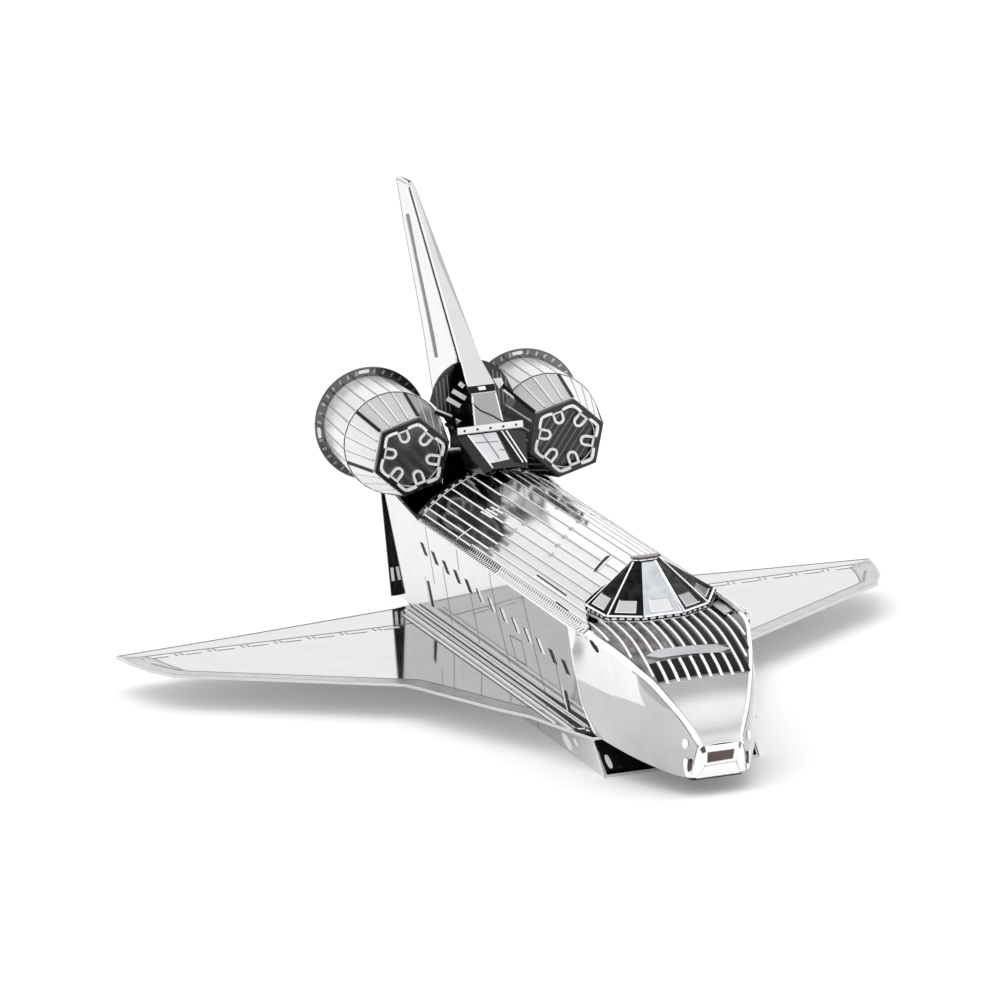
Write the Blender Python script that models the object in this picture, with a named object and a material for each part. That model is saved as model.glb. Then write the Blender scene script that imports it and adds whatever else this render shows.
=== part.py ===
# Desk model of a winged space shuttle, folded from thin polished steel sheet and held by bent tabs.
# Lengths below are in millimetres. X is across the body, the nose points along -Y, Z is up,
# and z = 0 is the middle of the wing sheet until the whole model is set down on its belly.
import math

import bpy
import bmesh
import numpy as np
from mathutils import Matrix, Vector, geometry

mm = 0.001
sheet = 0.2            # thickness of the steel sheet
gap = 0.03             # play left between two sheets that touch
bellyDepth = 2.45      # underside of the belly below the wing sheet
middleY = 20.235       # half way from nose to fin tip

# body
bodyRearY = 48.6
sideFrontY = -8.07
wallFoot = 5.19        # half width of the side walls at the wing
wallTop = 5.66         # and at the roof fold
foldHeight = 7.4
slitCount = 13
roofRearY, roofFrontY = 38.3, -4.1
roofStrips = 18
roofRise = 3.06

# tail
podAft = 12.75
podFrontR, podMidR, podRearR = 2.89, 3.78, 3.55
podMid = 0.42          # where the six front leaves end, as a share of the pod's length
podRingR = 4.21        # the rear ring stands out beyond the shell
podFrontY, podFrontX, podFrontZ = 38.0, 5.71, 12.0
podRearX, podRearZ = 5.81, 12.76
podFacets = 24
podTurn = 0.26         # turn of the hexagon about the pod's axis
deckHeight = 13.3
deckHalf = 2.4
domeY = 42.3
domeRadius, domeCentreZ = 3.0, 14.9
tailY = 48.85


def clearScene():
    for old in list(bpy.data.objects):
        bpy.data.objects.remove(old)


def material(name, colour, rough):
    made = bpy.data.materials.new(name)
    made.use_nodes = True
    shader = made.node_tree.nodes["Principled BSDF"]
    shader.inputs["Base Color"].default_value = (*colour, 1.0)
    shader.inputs["Metallic"].default_value = 1.0
    shader.inputs["Roughness"].default_value = rough
    made.diffuse_color = (*colour, 1.0)
    return made


clearScene()
bright = material("bright_sheet", (0.80, 0.81, 0.83), 0.12)
wallSteel = material("wall_sheet", (0.74, 0.75, 0.77), 0.16)
darkSteel = material("dark_sheet", (0.30, 0.31, 0.33), 0.20)
nozzleSteel = material("nozzle_sheet", (0.45, 0.44, 0.43), 0.25)

model = bpy.data.objects.new("shuttle", None)
bpy.context.scene.collection.objects.link(model)
model.location = (0.0, -middleY * mm, bellyDepth * mm)


def placed(name, mesh, finish, origin=(0, 0, 0), turn=None):
    made = bpy.data.objects.new(name, mesh)
    bpy.context.scene.collection.objects.link(made)
    made.data.materials.append(finish)
    made.parent = model
    made.location = Vector(origin) * mm
    if turn is not None:
        made.rotation_euler = turn.to_euler()
    return made


def thicken(made, thick=sheet, offset=0.0):
    solid = made.modifiers.new("Sheet", "SOLIDIFY")
    solid.thickness = thick * mm
    solid.offset = offset
    solid.use_even_offset = True
    solid.use_quality_normals = True
    return made


def folded(name, points, faces, finish, thick=sheet, offset=0.0, smooth=False):
    """A bent sheet given by its middle surface, points in millimetres."""
    mesh = bpy.data.meshes.new(name)
    work = bmesh.new()
    corners = [work.verts.new(Vector(p) * mm) for p in points]
    for face in faces:
        work.faces.new([corners[i] for i in face])
    bmesh.ops.recalc_face_normals(work, faces=work.faces)
    for face in work.faces:
        face.smooth = smooth
    work.to_mesh(mesh)
    work.free()
    return thicken(placed(name, mesh, finish), thick, offset)


def gridFaces(rows, columns, closed=False):
    faces = []
    wide = columns if closed else columns - 1
    for r in range(rows - 1):
        for c in range(wide):
            d = (c + 1) % columns
            faces.append((r * columns + c, r * columns + d,
                          (r + 1) * columns + d, (r + 1) * columns + c))
    return faces


def loft(name, rails, finish, closed=False, **kind):
    """A sheet through rails of equal length, one row of points per rail."""
    points = [tuple(p) for rail in rails for p in rail]
    return folded(name, points, gridFaces(len(rails), len(rails[0]), closed), finish, **kind)


def plate(name, outline, holes, finish, origin, across, up, thick=sheet):
    """A flat cut sheet. The outline and holes are (across, up) pairs about the origin."""
    loops = [[Vector((p[0], p[1], 0.0)) for p in ring] for ring in [outline] + list(holes)]
    corners = [p for ring in loops for p in ring]
    mesh = bpy.data.meshes.new(name)
    work = bmesh.new()
    verts = [work.verts.new(p * mm) for p in corners]
    for tri in geometry.tessellate_polygon(loops):
        work.faces.new([verts[i] for i in tri])
    bmesh.ops.recalc_face_normals(work, faces=work.faces)
    work.to_mesh(mesh)
    work.free()
    across = Vector(across).normalized()
    up = Vector(up)
    up = (up - across * up.dot(across)).normalized()
    turn = Matrix((across, up, across.cross(up))).transposed()
    return thicken(placed(name, mesh, finish, origin, turn), thick)


def ring(radius, count, turn=0.0, centre=(0.0, 0.0)):
    return [(centre[0] + radius * math.cos(turn + 2 * math.pi * i / count),
             centre[1] + radius * math.sin(turn + 2 * math.pi * i / count)) for i in range(count)]


def mirrored(points):
    return [(-p[0],) + tuple(p[1:]) for p in points]


# Wing: one flat sheet from tip to tip, with the strakes and a short tongue at the tail.
halfWing = [(5.54, -8.6), (6.54, -3.9), (7.4, 0.8), (8.84, 4.9), (10.13, 9.3), (11.67, 14.6),
            (12.3, 16.5), (25.8, 30.1), (26.95, 33.2), (27.65, 36.4), (28.13, 39.7),
            (18.9, 41.3), (6.8, 43.9), (5.4, 44.7), (4.9, 48.4), (3.6, 48.4), (3.6, 50.4)]
wingOutline = halfWing + mirrored(halfWing)[::-1]
plate("wing_plate", wingOutline, [], wallSteel, (0, 0, 0), (1, 0, 0), (0, 1, 0))

# Belly: a shallow tray under the wing, open at its slanted front.
trayHalf = 5.15
trayTop = -sheet / 2 - gap
trayFloor = -bellyDepth + sheet / 2


def trayRow(topY, floorY):
    return [(-trayHalf, topY, trayTop), (-trayHalf, floorY, trayFloor),
            (trayHalf, floorY, trayFloor), (trayHalf, topY, trayTop)]


loft("belly_tray", [trayRow(-7.3, -9.6), trayRow(46.0, 46.0)], darkSteel)

# Side walls lean outwards a little and carry a row of slanted slits.
wallLean = math.atan2(wallTop - wallFoot, foldHeight)
wallOutline = [(48.6, 0.14), (sideFrontY, 0.14), (-5.7, 1.7), (-5.2, 5.3), (-6.4, 6.55),
               (-9.0, 6.85), (0.0, 6.95), (37.1, 7.4), (44.5, 8.3), (48.6, 7.95)]


def wallSlits():
    found = []
    for i in range(slitCount):
        k = i / (slitCount - 1)
        y = 38.15 + (-1.60 - 38.15) * k
        z = 5.86 + (4.14 - 5.86) * k
        found.append([(y, z), (y - 1.15, z + 0.04), (y - 2.15, z - 0.8), (y - 1.0, z - 0.84)])
    found.append([(37.8, 3.05), (36.9, 3.1), (36.45, 1.28), (37.4, 1.2)])
    found.append([(-1.1, 1.9), (-2.0, 2.0), (-2.5, 0.6), (-1.6, 0.5)])
    return found


for side, label in ((-1, "starboard"), (1, "port")):
    plate("side_wall_" + label, wallOutline, wallSlits(), wallSteel,
          (side * wallFoot, 0, 0), (0, 1, 0), (side * math.sin(wallLean), 0, math.cos(wallLean)))

# Root angle: a narrow strip lying on the wing along the foot of each wall.
for side, label in ((-1, "starboard"), (1, "port")):
    strip = [(side * 5.36, -6.5), (side * 5.95, -5.9), (side * 5.95, 43.4), (side * 5.36, 43.4)]
    plate("root_strip_" + label, strip, [], bright,
          (0, 0, sheet / 2 + gap + 0.075), (1, 0, 0), (0, 1, 0), thick=0.15)


def roofSection(y, rise=roofRise):
    """Half width, fold height and rise of the roof at one station."""
    k = (36.7 - y) / 42.7
    return 5.68 - 0.45 * k, 7.52 - 0.66 * k, rise


def roofHeight(x, y):
    half, base, rise = roofSection(y)
    u = min(abs(x) / half, 1.0)
    radius = (half * half + rise * rise) / (2 * rise)
    arc = (math.sqrt(radius ** 2 - (half * u) ** 2) - (radius - rise)) / rise
    return base + rise * (0.65 * arc + 0.35 * (1.0 - u))


# Bay roof: flat strips side by side under a shallow pointed arch, folded along the walls' top.
def roofRow(y, slant):
    row = []
    for i in range(roofStrips + 1):
        s = -1.0 + 2.0 * i / roofStrips
        u = math.sin(s * math.pi / 2 * 0.86) / math.sin(math.pi / 2 * 0.86)
        ahead = y - slant * max(abs(u) - 0.8, 0.0) / 0.2
        half = roofSection(ahead)[0]
        row.append((half * u, ahead, roofHeight(half * u, ahead) + 0.06))
    return row


loft("bay_roof", [roofRow(roofFrontY, 3.9), roofRow(roofRearY, 0.0)], wallSteel)

# Neck: a ramp from the roof up to the deck between the pods.
def neckRow(y, half, top, foot):
    return [(-half + 0.35, y, foot), (-half, y, top - 0.2), (-half + 0.6, y, top),
            (half - 0.6, y, top), (half, y, top - 0.2), (half - 0.35, y, foot)]


loft("neck_ramp", [neckRow(33.4, 1.5, 11.1, 10.72), neckRow(36.95, 2.36, 13.17, 10.9)],
     wallSteel)
plate("deck_edge", [(-deckHalf, 0), (deckHalf, 0), (deckHalf, 0.5), (-deckHalf, 0.5)],
      [ring(0.11, 6, 0, (-1.9 + 0.95 * i, 0.25)) for i in range(5)],
      bright, (0, 37.2, deckHeight), (1, 0, 0), (0, 0, 1))
plate("aft_deck", [(-deckHalf, 37.33), (deckHalf, 37.33), (2.2, domeY - 0.13), (-2.2, domeY - 0.13)], [],
      darkSteel, (0, 0, deckHeight + 0.1), (1, 0, 0), (0, 1, 0))


def podPoint(t):
    """Centre and widest radius of the pod at a share t of its length."""
    wide = (podFrontR + (podMidR - podFrontR) * t / podMid if t < podMid
            else podMidR + (podRearR - podMidR) * (t - podMid) / (1 - podMid))
    return (podFrontX + (podRearX - podFrontX) * t, podFrontZ + (podRearZ - podFrontZ) * t, wide)


# Dome wall: stands across between the pods, round on top, and follows the pods down to the roof.
def domeOutline():
    cx, cz, r = podPoint((domeY - podFrontY) / podAft)
    r += 0.32
    right = []
    for i in range(7):
        a = math.radians(90 - 12.5 * i)
        right.append((domeRadius * math.cos(a), domeCentreZ + domeRadius * math.sin(a)))
    for i in range(7):
        a = math.radians(132 + 15 * i)
        right.append((cx + r * math.cos(a), cz + r * math.sin(a)))
    return right + [(-p[0], p[1]) for p in right[:0:-1]]


plate("dome_wall", domeOutline(), [], darkSteel, (0, domeY, 0), (1, 0, 0), (0, 0, 1))

# Tail wall: closes the body behind the walls, a little wider than they are.
tailOutline = [(-5.84, 0.14), (5.84, 0.14), (5.92, 7.85), (4.4, 8.1), (-4.4, 8.1), (-5.92, 7.85)]
bellPlaces = [(-2.6, 3.0), (2.6, 3.0), (0.0, 5.9)]
plate("tail_wall", tailOutline, [ring(0.5, 8, 0, p) for p in bellPlaces], darkSteel,
      (0, tailY, 0), (1, 0, 0), (0, 0, 1))
for i, (x, z) in enumerate(bellPlaces):
    start = tailY + sheet / 2 + gap
    rows = []
    for k in range(6):
        t = k / 5
        r = 0.8 + 0.98 * t ** 0.6
        rows.append([(x + a, start + 4.3 * t + 0.02, z + b) for a, b in ring(r, 20)])
    loft("engine_bell_%d" % (i + 1), rows, nozzleSteel, closed=True, smooth=True, thick=0.16)

# Fin: a narrow front strip and two skins that meet at the trailing edge.
finEdge = [(37.55, 13.72, 1.1), (38.4, 15.9, 0.91), (39.0, 16.33, 1.0), (41.6, 17.8, 0.76),
           (56.2, 29.35, 0.17)]
rows = [[(-h, y, z), (h, y, z)] for y, z, h in finEdge]
loft("fin_edge", rows, bright)
for side, label in ((-1, "starboard"), (1, "port")):
    foot = [(0.72, 42.45, 13.55), (0.115, 54.4, 13.55)]
    waist = [(0.72, 42.45, 18.05), (0.115, 55.9, 18.4)]
    high = [(0.30, 53.45, 26.85), (0.115, 59.4, 26.25)]
    tip = [(0.17, 56.75, 29.45), (0.115, 60.5, 29.5)]
    rails = [[(side * x, y, z) for x, y, z in row] for row in (foot, waist, high, tip)]
    loft("fin_skin_" + label, rails, wallSteel, thick=0.16)

# Nose: cheeks at the sides, a hood over the top, a floor and a small plate at the tip.
cheekTop = [(5.2, -6.85, 6.66), (5.06, -9.3, 6.5), (4.64, -11.5, 6.12), (3.98, -14.0, 5.4),
            (3.28, -16.2, 4.64), (2.22, -18.6, 2.84), (1.36, -19.5, 1.12)]
cheekBrow = [(5.5, -5.38, 5.3), (5.2, -8.6, 5.1), (4.72, -11.2, 4.85), (4.1, -13.8, 4.4),
             (3.5, -16.1, 3.85), (2.4, -18.35, 2.3), (1.5, -19.35, 0.6)]
cheekFold = [(5.48, -5.6, 3.5), (5.1, -8.5, 3.45), (4.6, -11.2, 3.3), (4.05, -13.7, 3.15),
             (3.45, -16.0, 2.8), (2.5, -18.0, 1.6), (1.62, -19.2, 0.1)]
cheekJaw = [(5.32, -5.95, 1.7), (4.9, -8.9, 1.45), (4.35, -11.8, 1.15), (3.7, -14.3, 0.85),
            (3.1, -16.2, 0.6), (2.35, -17.9, 0.2), (1.75, -18.85, -0.5)]
cheekFoot = [(5.19, -8.25, 0.14), (4.65, -10.6, -0.2), (3.9, -13.2, -0.6), (3.05, -15.5, -0.95),
             (2.6, -16.9, -1.08), (2.15, -17.9, -1.15), (1.84, -18.35, -1.2)]
for side, label in ((-1, "starboard"), (1, "port")):
    rails = [[(side * x, y, z) for x, y, z in rail]
             for rail in (cheekTop, cheekBrow, cheekFold, cheekJaw, cheekFoot)]
    loft("cheek_" + label, rails, bright)

hoodLine = [(-5.0, 6.92, 4.7), (-7.2, 6.92, 4.8), (-9.4, 6.76, 4.84), (-11.5, 6.45, 4.5),
            (-13.3, 5.92, 4.0), (-15.0, 5.35, 3.55), (-16.4, 4.8, 3.1), (-17.6, 3.95, 2.6),
            (-18.7, 3.0, 2.05), (-19.5, 1.95, 1.5), (-19.93, 0.99, 1.1)]
rails = [[(half * u, y, z + 0.12 * (1 - u * u)) for u in (-1, -0.67, -0.33, 0, 0.33, 0.67, 1)]
         for y, z, half in hoodLine]
loft("nose_hood", rails, darkSteel)
floorLine = [(-8.75, 0.0, 4.95), (-13.2, -0.72, 3.65), (-15.5, -1.06, 2.8), (-18.2, -1.36, 1.6)]
loft("nose_floor", [[(-half, y, z), (half, y, z)] for y, z, half in floorLine], darkSteel)
tipLine = [(-19.95, 0.72, 1.05), (-19.3, -0.30, 1.0), (-18.5, -1.2, 1.45)]
loft("nose_tip", [[(-half, y, z), (half, y, z)] for y, z, half in tipLine], bright)

# Canopy: five facets that lean together under a small cap, each with its own window.
canopyFoot = [(-4.42, -4.75, 8.0), (-3.46, -6.4, 7.36), (-1.35, -8.0, 7.3)]
canopyFoot = canopyFoot + mirrored(canopyFoot)[::-1]
canopyHead = [(-0.84, -4.35, 10.5), (-0.84, -4.7, 10.5), (-0.42, -5.0, 10.5)]
canopyHead = canopyHead + mirrored(canopyHead)[::-1]


def canopyBand():
    """Facets as strips of four columns by four rows, leaving the middle cell of each open."""
    points, faces = [], []
    across, along = (0.0, 0.2, 0.8, 1.0), (0.0, 0.09, 0.31, 1.0)
    for f in range(5):
        for j, t in enumerate(along):
            for i, s in enumerate(across):
                foot = Vector(canopyFoot[f]).lerp(Vector(canopyFoot[f + 1]), s)
                head = Vector(canopyHead[f]).lerp(Vector(canopyHead[f + 1]), s)
                points.append(foot.lerp(head, t))
        base = 16 * f
        for j in range(3):
            for i in range(3):
                if (i, j) != (1, 1):
                    a = base + 4 * j + i
                    faces.append((a, a + 1, a + 5, a + 4))
    return points, faces


def welded(points, faces):
    found, index = [], []
    for p in points:
        for k, q in enumerate(found):
            if (p - q).length < 1e-5:
                index.append(k)
                break
        else:
            found.append(p)
            index.append(len(found) - 1)
    return found, [tuple(index[i] for i in face) for face in faces]


points, faces = welded(*canopyBand())
folded("canopy", points, faces, darkSteel, thick=0.14)
plate("canopy_cap", [(-0.95, -4.25), (-0.95, -4.8), (-0.5, -5.2), (0.5, -5.2), (0.95, -4.8),
                     (0.95, -4.25)], [], bright, (0, 0, 10.72), (1, 0, 0), (0, 1, 0), thick=0.16)


def hexRadius(i):
    """Radius of a hexagon with corners at podFrontR, at the facet's own corner angle."""
    a = (2 * math.pi * i / podFacets) % (math.pi / 3)
    return podFrontR * math.cos(math.pi / 6) / math.cos(a - math.pi / 6)


# Pods: six flat leaves run back from a hexagon into a faceted barrel beside the fin. Each has a
# six-sided front frame, a plate set back in it and a rear ring.
for side, label in ((-1, "starboard"), (1, "port")):
    front = Vector((side * podFrontX, podFrontY, podFrontZ))
    rear = Vector((side * podRearX, podFrontY + podAft, podRearZ))
    axis = (rear - front).normalized()
    east = axis.cross(Vector((0, 0, 1))).normalized()
    north = east.cross(axis)
    rails = []
    for t in (0.02, podMid, 0.99):
        centre = front.lerp(rear, t)
        row = []
        for i in range(podFacets):
            radius = hexRadius(i) if t < podMid else podPoint(t)[2]
            a = podTurn + 2 * math.pi * i / podFacets
            row.append(centre + radius * (math.sin(a) * east + math.cos(a) * north))
        rails.append(row)
    loft("pod_shell_" + label, rails, wallSteel, closed=True, offset=-1.0)

    hexagon = ring(podFrontR, 6)
    inner = ring(podFrontR - 0.48, 6)
    plate("pod_front_" + label, hexagon, [inner], darkSteel,
          front - axis * 0.02, east * math.sin(podTurn) + north * math.cos(podTurn),
          east * math.cos(podTurn) - north * math.sin(podTurn), thick=0.16)
    plate("pod_face_" + label, ring(podFrontR - 0.42, 6), [], darkSteel,
          front + axis * 0.55, east * math.sin(podTurn) + north * math.cos(podTurn),
          east * math.cos(podTurn) - north * math.sin(podTurn), thick=0.16)
    plate("pod_ring_" + label, ring(podRingR, 32), [ring(podRingR - 1.14, 32)], darkSteel,
          rear + axis * 0.02, east, north, thick=0.18)
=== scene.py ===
import math

import bpy
import numpy as np
from mathutils import Matrix


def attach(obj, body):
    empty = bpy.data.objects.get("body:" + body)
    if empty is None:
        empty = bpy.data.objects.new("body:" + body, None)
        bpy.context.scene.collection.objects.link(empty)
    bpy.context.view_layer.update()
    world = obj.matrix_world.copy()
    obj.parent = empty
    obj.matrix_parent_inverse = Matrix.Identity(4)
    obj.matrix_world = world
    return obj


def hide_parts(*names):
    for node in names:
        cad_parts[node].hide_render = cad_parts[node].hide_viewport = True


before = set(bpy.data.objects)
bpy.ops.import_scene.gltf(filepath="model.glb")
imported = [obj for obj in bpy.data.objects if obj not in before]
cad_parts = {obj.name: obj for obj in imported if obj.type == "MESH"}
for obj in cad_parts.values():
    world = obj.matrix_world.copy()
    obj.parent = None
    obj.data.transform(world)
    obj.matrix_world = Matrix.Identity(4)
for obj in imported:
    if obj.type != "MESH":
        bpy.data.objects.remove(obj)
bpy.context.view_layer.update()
mm = 0.001
sheetHalf = 0.1  # a folded sheet's faces lie this far, in millimetres, from its middle

# the model was measured in millimetres with z = 0 at the wing sheet; this carries such points home
homeShift = np.array([0.0, -20.235, 2.45])


def home(points):
    return (np.asarray(points, float) + homeShift) * mm


# Camera: turned, tilted and rolled as the photograph was taken
cameraSetup = {
    "turn": -13.0, "rise": 9.7405, "roll": -4.9436, "away": 420.0, "across": -9.3185, "up": 13.5359,
    "lens": 228.498, "sensor": 36.0, "near": 0.01, "far": 20.0,
}


def makeCamera(c):
    a, e, k = (math.radians(c[n]) for n in ("turn", "rise", "roll"))
    back = np.array([math.sin(a) * math.cos(e), -math.cos(a) * math.cos(e), math.sin(e)])
    side = np.array([math.cos(a), math.sin(a), 0.0])
    top = np.cross(back, side)
    right = math.cos(k) * side + math.sin(k) * top
    over = -math.sin(k) * side + math.cos(k) * top
    spot = home(c["across"] * right + c["up"] * over + c["away"] * back)
    camera = bpy.data.cameras.new("camera")
    camera.lens, camera.sensor_width = c["lens"], c["sensor"]
    camera.clip_start, camera.clip_end = c["near"], c["far"]
    holder = bpy.data.objects.new("camera", camera)
    bpy.context.scene.collection.objects.link(holder)
    holder.matrix_world = Matrix([(right[i], over[i], back[i], spot[i]) for i in range(3)] + [(0, 0, 0, 1)])
    bpy.context.scene.camera = holder
    print("camera placed")


# a node's inputs: each is given a value, or linked to another node's output
def setInputs(tree, node, inputs):
    for key, value in inputs.items():
        if isinstance(value, bpy.types.NodeSocket):
            tree.links.new(value, node.inputs[key])
        else:
            node.inputs[key].default_value = value


def addNode(tree, kind, inputs=(), **settings):
    node = tree.nodes.new("ShaderNode" + kind)
    for key, value in settings.items():
        setattr(node, key, value)
    setInputs(tree, node, dict(inputs))
    return node


# carries a value from one range over to another
def addRange(tree, value, source, target, **settings):
    ends = zip(("From Min", "From Max", "To Min", "To Max"), (*source, *target))
    return addNode(tree, "MapRange", {"Value": value, **dict(ends)}, **settings).outputs[0]


def addTimes(tree, a, b):
    return addNode(tree, "Math", {0: a, 1: b}, operation="MULTIPLY").outputs[0]


# Light: a pale room all round, a little dimmer to the left and in a belt half way up, a touch cooler than
# grey, and one very soft lamp for the floor that the steel doesn't mirror
studio = {
    "heights": [(0.0, 1.0), (0.45, 1.0), (0.56, 0.62), (0.68, 0.58), (0.80, 0.95), (1.0, 1.0)], "cool": 1.01,
    "leftEnds": (-0.16, 0.12), "glow": (0.84, 1.12),
    "lampPower": 0.9, "lampSpread": 70, "lampLean": (18, -24, 0),
    "floorTone": 0.93, "floorGlow": 0.14, "floorRough": 0.9, "floorSpecular": 0.1, "floorSize": 6.0,
}


def makeRoom(s):
    world = bpy.data.worlds.new("studio")
    bpy.context.scene.world = world
    world.use_nodes = True
    tree = world.node_tree
    tree.nodes.clear()
    spot = addNode(tree, "TexCoord")
    split = addNode(tree, "SeparateXYZ", {0: spot.outputs["Generated"]})
    ramp = addNode(tree, "ValToRGB", {0: split.outputs["Z"]})
    band = ramp.color_ramp
    while len(band.elements) < len(s["heights"]):
        band.elements.new(0.5)
    for place, (at, tone) in zip(band.elements, s["heights"]):
        place.position = at
        place.color = (tone, tone, tone * s["cool"], 1.0)
    left = addRange(tree, split.outputs["X"], s["leftEnds"], s["glow"], interpolation_type="SMOOTHSTEP")
    shine = addNode(tree, "Background", {0: ramp.outputs[0], 1: left})
    addNode(tree, "OutputWorld", {0: shine.outputs[0]})
    lamp = bpy.data.lights.new("floorLamp", "SUN")
    lamp.energy, lamp.angle = s["lampPower"], math.radians(s["lampSpread"])
    holder = bpy.data.objects.new("floorLamp", lamp)
    bpy.context.scene.collection.objects.link(holder)
    holder.rotation_euler = [math.radians(v) for v in s["lampLean"]]
    holder.visible_glossy = False
    print("room lit")


def makeFloor(s):
    mesh = bpy.data.meshes.new("floor")
    h = s["floorSize"] / 2
    mesh.from_pydata([(-h, -h, 0), (h, -h, 0), (h, h, 0), (-h, h, 0)], [], [(0, 1, 2, 3)])
    floor = bpy.data.objects.new("floor", mesh)
    bpy.context.scene.collection.objects.link(floor)
    paper = bpy.data.materials.new("floorPaper")
    paper.use_nodes = True
    setInputs(paper.node_tree, paper.node_tree.nodes["Principled BSDF"], {
        "Base Color": (*[s["floorTone"]] * 3, 1), "Roughness": s["floorRough"],
        "Specular IOR Level": s["floorSpecular"], "Emission Color": (1, 1, 1, 1),
        "Emission Strength": s["floorGlow"]})
    mesh.materials.append(paper)
    print("floor laid")


bpy.context.scene.view_settings.view_transform = "Standard"
makeCamera(cameraSetup)
makeRoom(studio)
makeFloor(studio)

# what the steels share: ranges of the slow noise, the fine brushing drawn out along y, and the frost's dots
surfaceGrain = {
    "cloudDetail": 3.0, "cloudEnds": (0.3, 0.7), "brushScale": (9000.0, 260.0, 9000.0), "brushDetail": 2.0,
    "roughVaries": 0.3, "reliefDepth": 0.00002, "dotScale": 7000.0, "dotStray": 0.1, "dotEnds": (0.25, 0.6),
}


# Steel: metal whose tone wanders a little with slow noise, with fine brushing in its roughness and relief.
# With a veil the mesh's own tone attribute multiplies the tone, painting reflections and shade where a piece
# gives them, and dots show where its dotted attribute is 1
def steel(name, tone, rough, brush=0.03, tint=(1.0, 1.0, 1.01), cloud=0.04, veil=False, dots=0.0, metal=1.0,
          grain=420.0, specular=0.5):
    made = bpy.data.materials.new(name)
    made.use_nodes = True
    tree, g = made.node_tree, surfaceGrain
    spot = addNode(tree, "TexCoord").outputs["Object"]
    slow = addNode(tree, "TexNoise", {"Vector": spot, "Scale": grain, "Detail": g["cloudDetail"]})
    tones = tone * (1 - cloud), min(tone * (1 + cloud), 1.0)
    value = addRange(tree, slow.outputs[0], g["cloudEnds"], tones)
    if veil:
        layer = addNode(tree, "Attribute", attribute_name="tone")
        value = addTimes(tree, value, layer.outputs["Fac"])
    if dots:
        cells = addNode(tree, "TexVoronoi", {
            "Vector": spot, "Scale": g["dotScale"], "Randomness": g["dotStray"]})
        spots = addRange(tree, cells.outputs["Distance"], g["dotEnds"], (1.0, 1.0 - dots))
        layer = addNode(tree, "Attribute", attribute_name="dotted")
        fade = addNode(tree, "Mix", {"Factor": layer.outputs["Fac"], "A": 1.0, "B": spots})
        value = addTimes(tree, value, fade.outputs[0])
    paint = addNode(tree, "CombineColor", {i: addTimes(tree, value, part) for i, part in enumerate(tint)})
    stretch = addNode(tree, "Mapping", {"Vector": spot, "Scale": g["brushScale"]})
    fine = addNode(tree, "TexNoise", {"Vector": stretch.outputs[0], "Scale": 1.0, "Detail": g["brushDetail"]})
    varies = g["roughVaries"]
    gloss = addRange(tree, fine.outputs[0], (0.0, 1.0), (rough * (1 - varies), rough * (1 + varies)))
    relief = addNode(tree, "Bump", {
        "Height": fine.outputs[0], "Strength": brush, "Distance": g["reliefDepth"]})
    setInputs(tree, tree.nodes["Principled BSDF"], {
        "Base Color": paint.outputs[0], "Roughness": gloss, "Normal": relief.outputs[0],
        "Metallic": metal, "Specular IOR Level": specular})
    return made


steels = {
    "mirror": steel("mirrorSteel", 0.69, 0.07),
    "veiled": steel("veiledSteel", 0.79, 0.09, veil=True),
    "satin": steel("satinSteel", 0.74, 0.32, brush=0.08),
    "line": steel("etchedGrey", 0.16, 0.35),
    "grey": steel("etchedMid", 0.27, 0.35),
    # faint: pale etched lines, and painted shade along the fin's front strip
    "faint": steel("paleEtchAndShade", 0.48, 0.3),
    "pale": steel("paleSteel", 0.70, 0.16, brush=0.08, tint=(0.985, 0.99, 1.02), cloud=0.12),
    # black: etched black lines, and painted shade in slits, slots, holes, gaps, the root's bend and the
    # tray's mouth
    "black": steel("etchAndShadeBlack", 0.007, 0.5, metal=0.0, specular=0.12),
    # white: a nearly matt white that paints highlights and bright reflections on edges, ribs, glints and
    # sheets
    "white": steel("paintedHighlightSteel", 0.99, 0.4, brush=0.0, cloud=0.01, metal=0.12, specular=0.3),
    "wing": steel("wingSteel", 0.6, 0.07),
    "band": steel("bandSteel", 0.40, 0.2, brush=0.08, tint=(0.98, 0.99, 1.03), cloud=0.15, grain=900.0),
    "shade": steel("shadeSteel", 0.05, 0.14),
    "dusk": steel("duskSteel", 0.16, 0.12),
    "umber": steel("umberSteel", 0.085, 0.22, tint=(1.25, 0.95, 0.88), cloud=0.3),
    # litFacet: the canopy's front facet painted light and bluish, as the reflection of the bright room above
    # it
    "litFacet": steel("litFacetSteel", 0.64, 0.16, brush=0.1, tint=(0.94, 0.99, 1.05), cloud=0.14, veil=True,
                   grain=1200.0),
    # canopy: its strong cloud paints mottled glints over the facets' dark painted tones
    "canopy": steel("canopySteel", 0.9, 0.16, brush=0.1, tint=(1.0, 0.98, 1.0), cloud=0.75, veil=True,
                    grain=1900.0),
    "shell": steel("shellSteel", 0.86, 0.22, veil=True, metal=0.4, specular=0.3),
    # pinkShade: painted shade in the hood's left valleys, mottled with pinkish painted reflections
    "pinkShade": steel("pinkShadeSteel", 0.24, 0.3, tint=(1.12, 0.98, 0.93), cloud=0.55, grain=1300.0),
    "seam": steel("seamSteel", 0.4, 0.4, metal=0.3, specular=0.3),
    "frost": steel("frostSteel", 0.80, 0.26, brush=0.05, veil=True, dots=0.22),
    "nozzle": steel("nozzleSteel", 0.42, 0.24, tint=(1.02, 1.0, 0.98)),
}
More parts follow.
